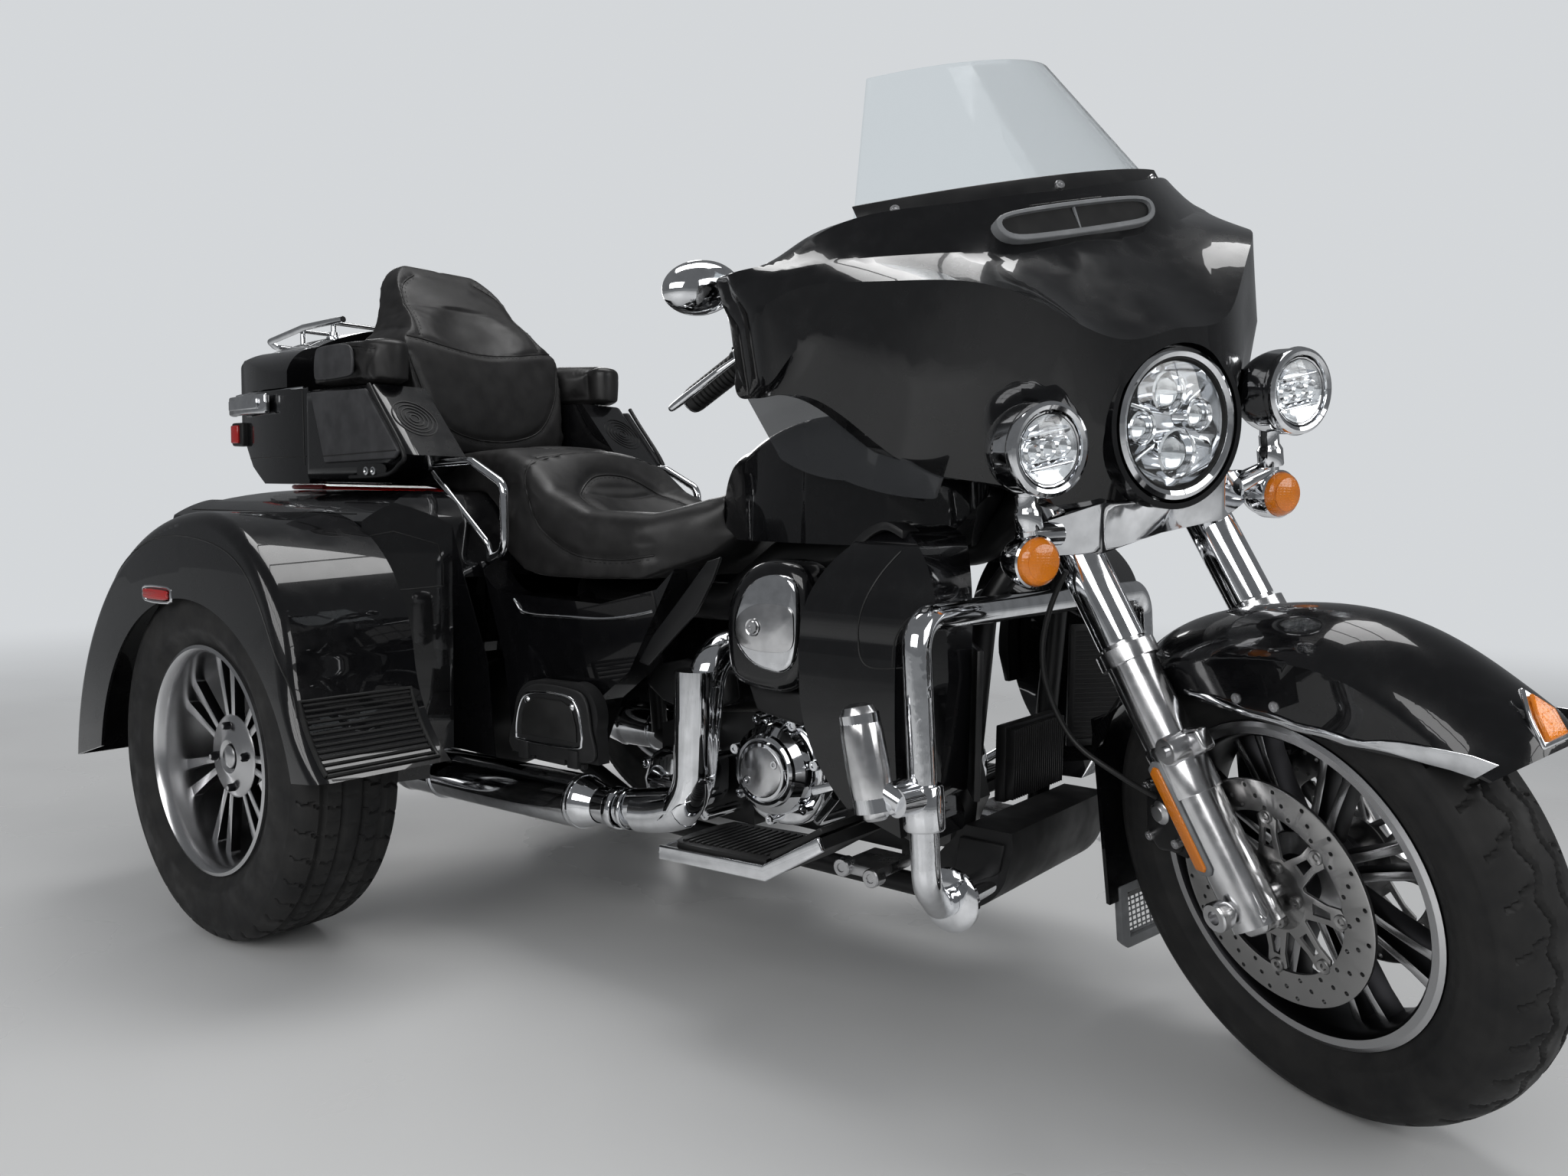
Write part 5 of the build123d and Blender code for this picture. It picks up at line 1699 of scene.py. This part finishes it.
place_pair(joined("jack_plate_right", jack), black_plastic)
sockets = [turned("socket", ((3, 0), (7, 0), (8, 2), (8, 5), (5, 6), (3, 4), (3, 0)), (x, -349, 836), RIGHT,
    20) for x in (4, 28)]
place_pair(joined("jack_sockets_right", sockets), chrome)
speakers = []
for radius in (10, 19, 28, 37, 46):
    speakers.append(turned("speaker_ring", ((radius - 2, -2), (radius + 2, -2), (radius + 1, 3),
        (radius - 1, 3), (radius - 2, -2)), (54, -278, 938), (0.73, 0, 0.68), 40))
place_pair(joined("rear_speaker_right", speakers), satin_black)
feet = [turned("rack_foot", ((0, -4), (16, -4), (16, 0), (10, 4), (9, 12), (0, 12)), (x, -175, z), UP,
    24) for x, z in ((-400, 1141), (-530, 1088))]
twins = [mirrored(foot, "rack_foot") for foot in feet]
place(joined("rack_feet", feet + twins), chrome, "luggage_lid_body")
rim_line = eased([(309, 0, 637), (350, 0, 599), (378, 0, 583), (490, 0, 584), (606, 0, 590), (731, 0, 619),
    (806, 0, 660)], 5)
for side, body_side in SIDES:
    cover = solid_copy("side_cover_" + body_side, "cover")
    line = dropped(cover, [(p.x, side * 600, p.z - 3) for p in rim_line], (0, -side, 0), 12, 1)
    discard(cover)
    print("side cover rim points", len(line))
    place(pipe("side_cover_rim_" + body_side, line, 3.4, 0, 2), chrome, smooth=50)
print("rear and luggage done")

# %% [markdown]
# ## Seat, backrest and armrests
# The padding is real cloth work that is held down along its seams. So each vertex first needs
# to know how close it is to a seam.

# %% Nearness to a seam
SEAM_REACH, SEAM_DEPTH = 16, 0.0045
CLOTH_FRAMES = 20


def near_line(obj, lines, reach):
    """For each vertex, how close it is to the seam lines: 1 on a line, 0 beyond reach (mm)."""
    spots = [p for line in lines for p in line]
    tree = KDTree(len(spots))
    for number, spot in enumerate(spots):
        tree.insert(spot / 1000, number)
    tree.balance()
    found = []
    for vertex in obj.data.vertices:
        _, _, distance = tree.find(vertex.co)
        found.append(max(0.0, 1 - distance * 1000 / reach))
    return found


print("seam reach", SEAM_REACH, "mm")

# %% [markdown]
# A copy of the solid is remeshed into even cells and made a little smaller. The lines of the
# seams are pinned, and a short cloth simulation with air pressure lets the vinyl swell between
# them. A cap on the movement keeps the shape.

# %% Swelling a cushion
def padding(node_name, name, seams, voxel, shrink, cap, hollow, hold):
    """A swollen copy of a soft solid; returns it with its seam lines in mm."""
    obj = solid_copy(node_name, name)
    obj.data.remesh_voxel_size = voxel / 1000
    only(obj)
    bpy.ops.object.voxel_remesh()
    modified(obj, "SMOOTH", iterations=12)
    edit(obj, "VERT")
    bpy.ops.transform.shrink_fatten(value=-shrink / 1000)
    clear()
    lines = [dropped(obj, eased(points, 5), toward, 6, 0) for points, toward in seams]
    held = near_line(obj, lines, SEAM_REACH)
    start = [vertex.co.copy() for vertex in obj.data.vertices]
    group = obj.vertex_groups.new(name="held")
    for number, value in enumerate(held):
        fixed = hold(start[number] * 1000)
        if value > 0 or fixed:
            group.add([number], 1.0 if fixed or value > 0.55 else value, "REPLACE")
    only(obj)
    cloth = obj.modifiers.new("cloth", "CLOTH")
    cloth.settings.use_pressure = True
    cloth.settings.uniform_pressure_force = 4
    cloth.settings.effector_weights.gravity = 0
    cloth.settings.vertex_group_mass = "held"
    cloth.settings.quality = 4
    for number in range(CLOTH_FRAMES):
        bpy.context.scene.frame_set(number + 1)
    bpy.ops.object.modifier_apply(modifier=cloth.name)
    bpy.context.scene.frame_set(1)
    obj.vertex_groups.clear()
    normals = [vertex.normal.copy() for vertex in obj.data.vertices]
    for vertex, place_before, value, normal in zip(obj.data.vertices, start, held, normals):
        step = vertex.co - place_before
        if step.length > cap / 1000:
            step *= cap / 1000 / step.length
        vertex.co = place_before + step - normal * SEAM_DEPTH * value * value
        if hollow:
            vertex.co += hollow(place_before * 1000, normal) / 1000
    obj.data.update()
    modified(obj, "SUBSURF", levels=1, render_levels=1)
    return obj, [dropped(obj, eased(points, 5), toward, 5, 0) for points, toward in seams]


print("cloth frames", CLOTH_FRAMES)

# %% [markdown]
# Afterwards the seams get their welt, a thin cord of vinyl, and a row of stitches beside it.

# %% Welts and stitches
def stitches(name, obj, lines, offset, pitch=9.0):
    """Short threads beside each line, one small bar copied along it."""
    bar = pipe("stitch", [(-2.6, 0, 0), (2.6, 0, 0)], 0.6, 0, 0)
    pieces = []
    for line in lines:
        left = 0.0
        for here, there in zip(line, line[1:]):
            left += (there - here).length
            if left < pitch or (there - here).length < 0.5:
                continue
            left = 0.0
            _, _, normal, _ = obj.closest_point_on_mesh(here / 1000)
            way = (there - here).normalized()
            beside = way.cross(normal).normalized()
            _, at, normal, _ = obj.closest_point_on_mesh((here + beside * offset) / 1000)
            turn = Matrix((way, beside, normal)).transposed().to_4x4()
            pieces.append(added("stitch", bar.data))
            pieces[-1].matrix_world = Matrix.Translation(at) @ turn
    clear()
    for piece in pieces:
        piece.select_set(True)
    bpy.context.view_layer.objects.active = pieces[0]
    bpy.ops.object.make_single_user(object=True, obdata=True)
    bpy.ops.object.transform_apply()
    bpy.ops.object.join()
    discard(bar)
    bpy.context.object.name = name
    return outward(bpy.context.object)


def upholster(node_name, obj, lines, radius=2.0):
    """Lay welt and stitches on a cushion and place all three; it replaces its solid."""
    cords = [pipe("welt", line, radius, 0, 1) for line in lines if len(line) > 2]
    place(joined(node_name + "_welts", cords), seat_vinyl, smooth=60)
    place(stitches(node_name + "_stitches", obj, lines, 7), thread, smooth=60)
    place(obj, seat_vinyl, smooth=60)
    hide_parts(node_name)


def both(points):
    """A line across the middle: the points, then their mirror image in reverse."""
    return points + [(x, -y, z) for x, y, z in reversed(points) if y != 0]


print("padding helpers ready")

# %% [markdown]
# The seat's seams are drawn from above and from the side and dropped onto it. The rider's place
# dips like a bucket, with a bolster behind it, and the passenger sits higher.

# %% Seat
ABOVE = 1200
INSERT = both([(x, y, ABOVE) for x, y in ((640, 0), (632, -46), (580, -104), (500, -138), (420, -140),
    (352, -118), (316, -60), (308, 0))]) + [(640, 0, ABOVE)]
PILLION = both([(x, y, ABOVE) for x, y in ((-150, -112), (0, -122), (150, -118), (214, -92), (228, 0))])
BEHIND = both([(262, -150, ABOVE), (268, -80, ABOVE), (272, 0, ABOVE)])
SIDE_SEAM = [(276, 872), (288, 820), (330, 740), (420, 690), (520, 680), (600, 690)]


def bucket(p, normal):
    """The dip of the rider's place, with a bolster behind it."""
    along, across = (p.x - 440) / 150, p.y / 120
    if normal.z > 0.2 and along * along + across * across < 1:
        return Vector((0, 0, -14 * (1 - along * along - across * across)))
    return Vector()


seat_seams = [(line, DOWN) for line in (INSERT, PILLION, BEHIND)]
for side in (-1, 1):
    seat_seams.append(([(x, side * 400, z) for x, z in SIDE_SEAM], (0, -side, 0)))
seat, seat_lines = padding("seat", "seat_cushion", seat_seams, 6.5, 3, 9, bucket,
    lambda p: p.z < 690 or p.x > 715)
upholster("seat", seat, seat_lines, 2.2)
print("seat faces", len(seat.data.polygons))

# %% [markdown]
# The backrest has a wide lower cushion and a headrest with a hollow for the head. Its seams are
# seen from the front, so they are dropped backwards.

# %% Backrest
AHEAD = 300
LOW_SEAM = both([(AHEAD, -196, 1082), (AHEAD, -176, 1010), (AHEAD, -130, 942), (AHEAD, -66, 916),
    (AHEAD, 0, 910)])
HEAD_SEAM = both([(AHEAD, -190, 1122), (AHEAD, -150, 1118), (AHEAD, -80, 1106), (AHEAD, 0, 1100)])
HEAD_SIDE = [(AHEAD, -158, 1128), (AHEAD, -146, 1190), (AHEAD, -128, 1244), (AHEAD, -80, 1276)]


def head_hollow(p, normal):
    """A hollow for the head, in the front of the upper part."""
    across, height = p.y / 125, (p.z - 1148) / 62
    depth = max(0.0, 1 - across * across - height * height) if p.x > -225 else 0.0
    return Vector((-20 * depth * depth * (3 - 2 * depth), 0, 0))


OTHER_SIDE = [(x, -y, z) for x, y, z in HEAD_SIDE]
back_seams = [(line, BACK) for line in (LOW_SEAM, HEAD_SEAM, HEAD_SIDE, OTHER_SIDE)]
back, back_lines = padding("backrest", "backrest_cushion", back_seams, 6, 3, 9, head_hollow,
    lambda p: p.z < 892 or p.x < -232)
upholster("backrest", back, back_lines)
print("backrest faces", len(back.data.polygons))

# %% [markdown]
# The armrests have one seam along the outer side, and a leather cap at the back covers each
# arm's hinge. The panels of the speaker pods are covered in the same leather.

# %% Armrests and pod panels
ARM_SEAM = [(-226, -600, 1078), (-150, -600, 1084), (-70, -600, 1082), (-10, -600, 1074)]
for side, body_side in SIDES:
    seam_line = [(x, -side * y, z) for x, y, z in ARM_SEAM]
    arm, arm_lines = padding("armrest_" + body_side, "armrest_" + body_side + "_pad", [(seam_line,
        (0, -side, 0))], 5, 2, 7, None, lambda p: p.x < -222)
    upholster("armrest_" + body_side, arm, arm_lines, 1.6)
place_pair(side_plate("armrest_cap_right", -336, -7, [(-196, 1030), (-190, 1078), (-160, 1086), (-86, 1086),
    (-60, 1072), (-58, 1034), (-76, 1022), (-176, 1020)], 4, 4, ease=4), cap_vinyl, smooth=60)
place_pair(side_plate("pod_panel_right", -344, -9, [(-196, 996), (2, 994), (112, 872), (96, 858), (-146, 852)],
    5, 4), cap_vinyl, smooth=60)
place_pair(pipe("pod_panel_welt_right", [(-150, -353, 866), (104, -353, 874)], 1.4, 0, 1), seat_vinyl,
    smooth=60)
print("padding done")

# %% [markdown]
# ## The studio
# The camera stands where the photograph was taken. Its place, heading and focal length were
# worked out from the tires, whose sizes are known.

# %% Camera
CAMERA_AT = (2.0376, -1.6303, 0.7846)
HEADING, PITCH, ROLL = 128.171, -4.1705, 0.740
FOCAL_PIXELS, PHOTO_WIDTH, SENSOR = 1524.0, 2048, 36.0
camera_data = bpy.data.cameras.new("photo_camera")
camera_data.sensor_width = SENSOR
camera_data.lens = FOCAL_PIXELS * SENSOR / PHOTO_WIDTH
camera = added("photo_camera", camera_data)
pitch, heading = radians(PITCH), radians(HEADING)
look = Vector((cos(pitch) * cos(heading), cos(pitch) * sin(heading), sin(pitch)))
right = look.cross(Vector(UP)).normalized()
up = right.cross(look)
roll = radians(ROLL)
level_right = right * cos(roll) + up * sin(roll)
level_up = up * cos(roll) - right * sin(roll)
axes = Matrix((level_right, level_up, -look)).transposed().to_4x4()
camera.matrix_world = FRAME_SHIFT @ Matrix.Translation(CAMERA_AT) @ axes
bpy.context.scene.camera = camera
print("camera", [round(v, 3) for v in camera.location], "lens", round(camera_data.lens, 2))

# %% [markdown]
# The floor is plain and pale, and far from the machine it fades into the backdrop. The world is
# pale to the camera and to glass, and dimmer as a light and in mirrors, so that the background
# stays pale without washing out the colours.

# %% Floor and world
BACKDROP = (0.66, 0.68, 0.70)
CLEAR_FLOOR, FAR_FLOOR = 2.0, 6.5
clear()
bpy.ops.mesh.primitive_plane_add(size=30, location=ORIGIN)
ground = bpy.context.object
ground.name = "studio_floor"
pale = finish_of("pale_studio_floor", (0.6, 0.6, 0.595), 0.3)
vary_roughness(pale, noise_on(pale, 1.2, 5.0), 0.22, 0.4)
mirrored_ray = node(pale, "LightPath").outputs["Is Glossy Ray"]
far = node(pale, "Emission", Color=(*BACKDROP, 1))
wire(pale, worked(pale, "Math", "MULTIPLY_ADD", mirrored_ray, -0.7, 1.0), far.inputs["Strength"])
distance = worked(pale, "VectorMath", "LENGTH", place_on(pale, (600, 0, 0)))
reach = node(pale, "MapRange", interpolation_type="SMOOTHSTEP", From_Min=CLEAR_FLOOR, From_Max=FAR_FLOOR)
wire(pale, distance, reach.inputs["Value"])
fade = node(pale, "MixShader")
wire(pale, reach.outputs["Result"], fade.inputs["Fac"])
wire(pale, shader_of(pale).outputs["BSDF"], fade.inputs[1])
wire(pale, far.outputs["Emission"], fade.inputs[2])
wire(pale, fade.outputs["Shader"], pale.node_tree.nodes["Material Output"].inputs["Surface"])
ground.data.materials.append(pale)

DAYLIGHT, LESS_IN_MIRRORS = 0.42, -0.27
scene = bpy.context.scene
world = bpy.data.worlds.new("studio")
scene.world = world
world.use_nodes = True
background = world.node_tree.nodes["Background"]
background.inputs["Color"].default_value = (0.9, 0.93, 0.97, 1)
seen = node(world, "Background", Color=(*BACKDROP, 1), Strength=1.0)
rays = node(world, "LightPath").outputs
wire(world, worked(world, "Math", "MULTIPLY_ADD", rays["Is Glossy Ray"], LESS_IN_MIRRORS, DAYLIGHT),
    background.inputs["Strength"])
mixed = node(world, "MixShader")
wire(world, worked(world, "Math", "MAXIMUM", rays["Is Camera Ray"], rays["Is Transmission Ray"]),
    mixed.inputs["Fac"])
wire(world, background.outputs[0], mixed.inputs[1])
wire(world, seen.outputs[0], mixed.inputs[2])
wire(world, mixed.outputs[0], world.node_tree.nodes["World Output"].inputs["Surface"])
print("floor and world ready")

# %% [markdown]
# Each window is several panes of light with gaps between them, which is what the paint and the
# chrome reflect. Big soft panes also keep the shadows soft.

# %% Lights
PANE_GAP = 0.07
LIGHTS = (
    # name, place, looks at, width, height, power, panes across, panes up
    ("window_side", (0.9, -4.2, 2.5), (0.2, 0, 0.6), 4.2, 2.2, 90, 4, 2),
    ("window_front", (4.6, 0.6, 2.4), (0.6, 0, 0.7), 3.0, 2.0, 55, 3, 2),
    ("sky_panel", (-0.4, 0.6, 4.2), ORIGIN, 3.2, 1.8, 75, 3, 1),
    ("rear_fill", (-3.8, 2.6, 2.2), (-0.3, 0, 0.7), 2.2, 1.4, 40, 1, 1),
)
for name, at, target, width, height, power, across, rows in LIGHTS:
    aim = (Vector(target) - Vector(at)).to_track_quat("-Z", "Y")
    for number in range(across * rows):
        lamp = bpy.data.lights.new(name, "AREA")
        lamp.shape = "RECTANGLE"
        lamp.size, lamp.size_y = width / across - PANE_GAP, height / rows - PANE_GAP
        lamp.energy = power / (across * rows)
        holder = added(name, lamp)
        aside, higher = (number % across + 0.5) / across - 0.5, (number // across + 0.5) / rows - 0.5
        holder.location = Vector(at) + aim @ Vector((aside * width, higher * height, 0))
        holder.rotation_euler = aim.to_euler()
scene.view_settings.view_transform = "Standard"
print("lights", len(LIGHTS))
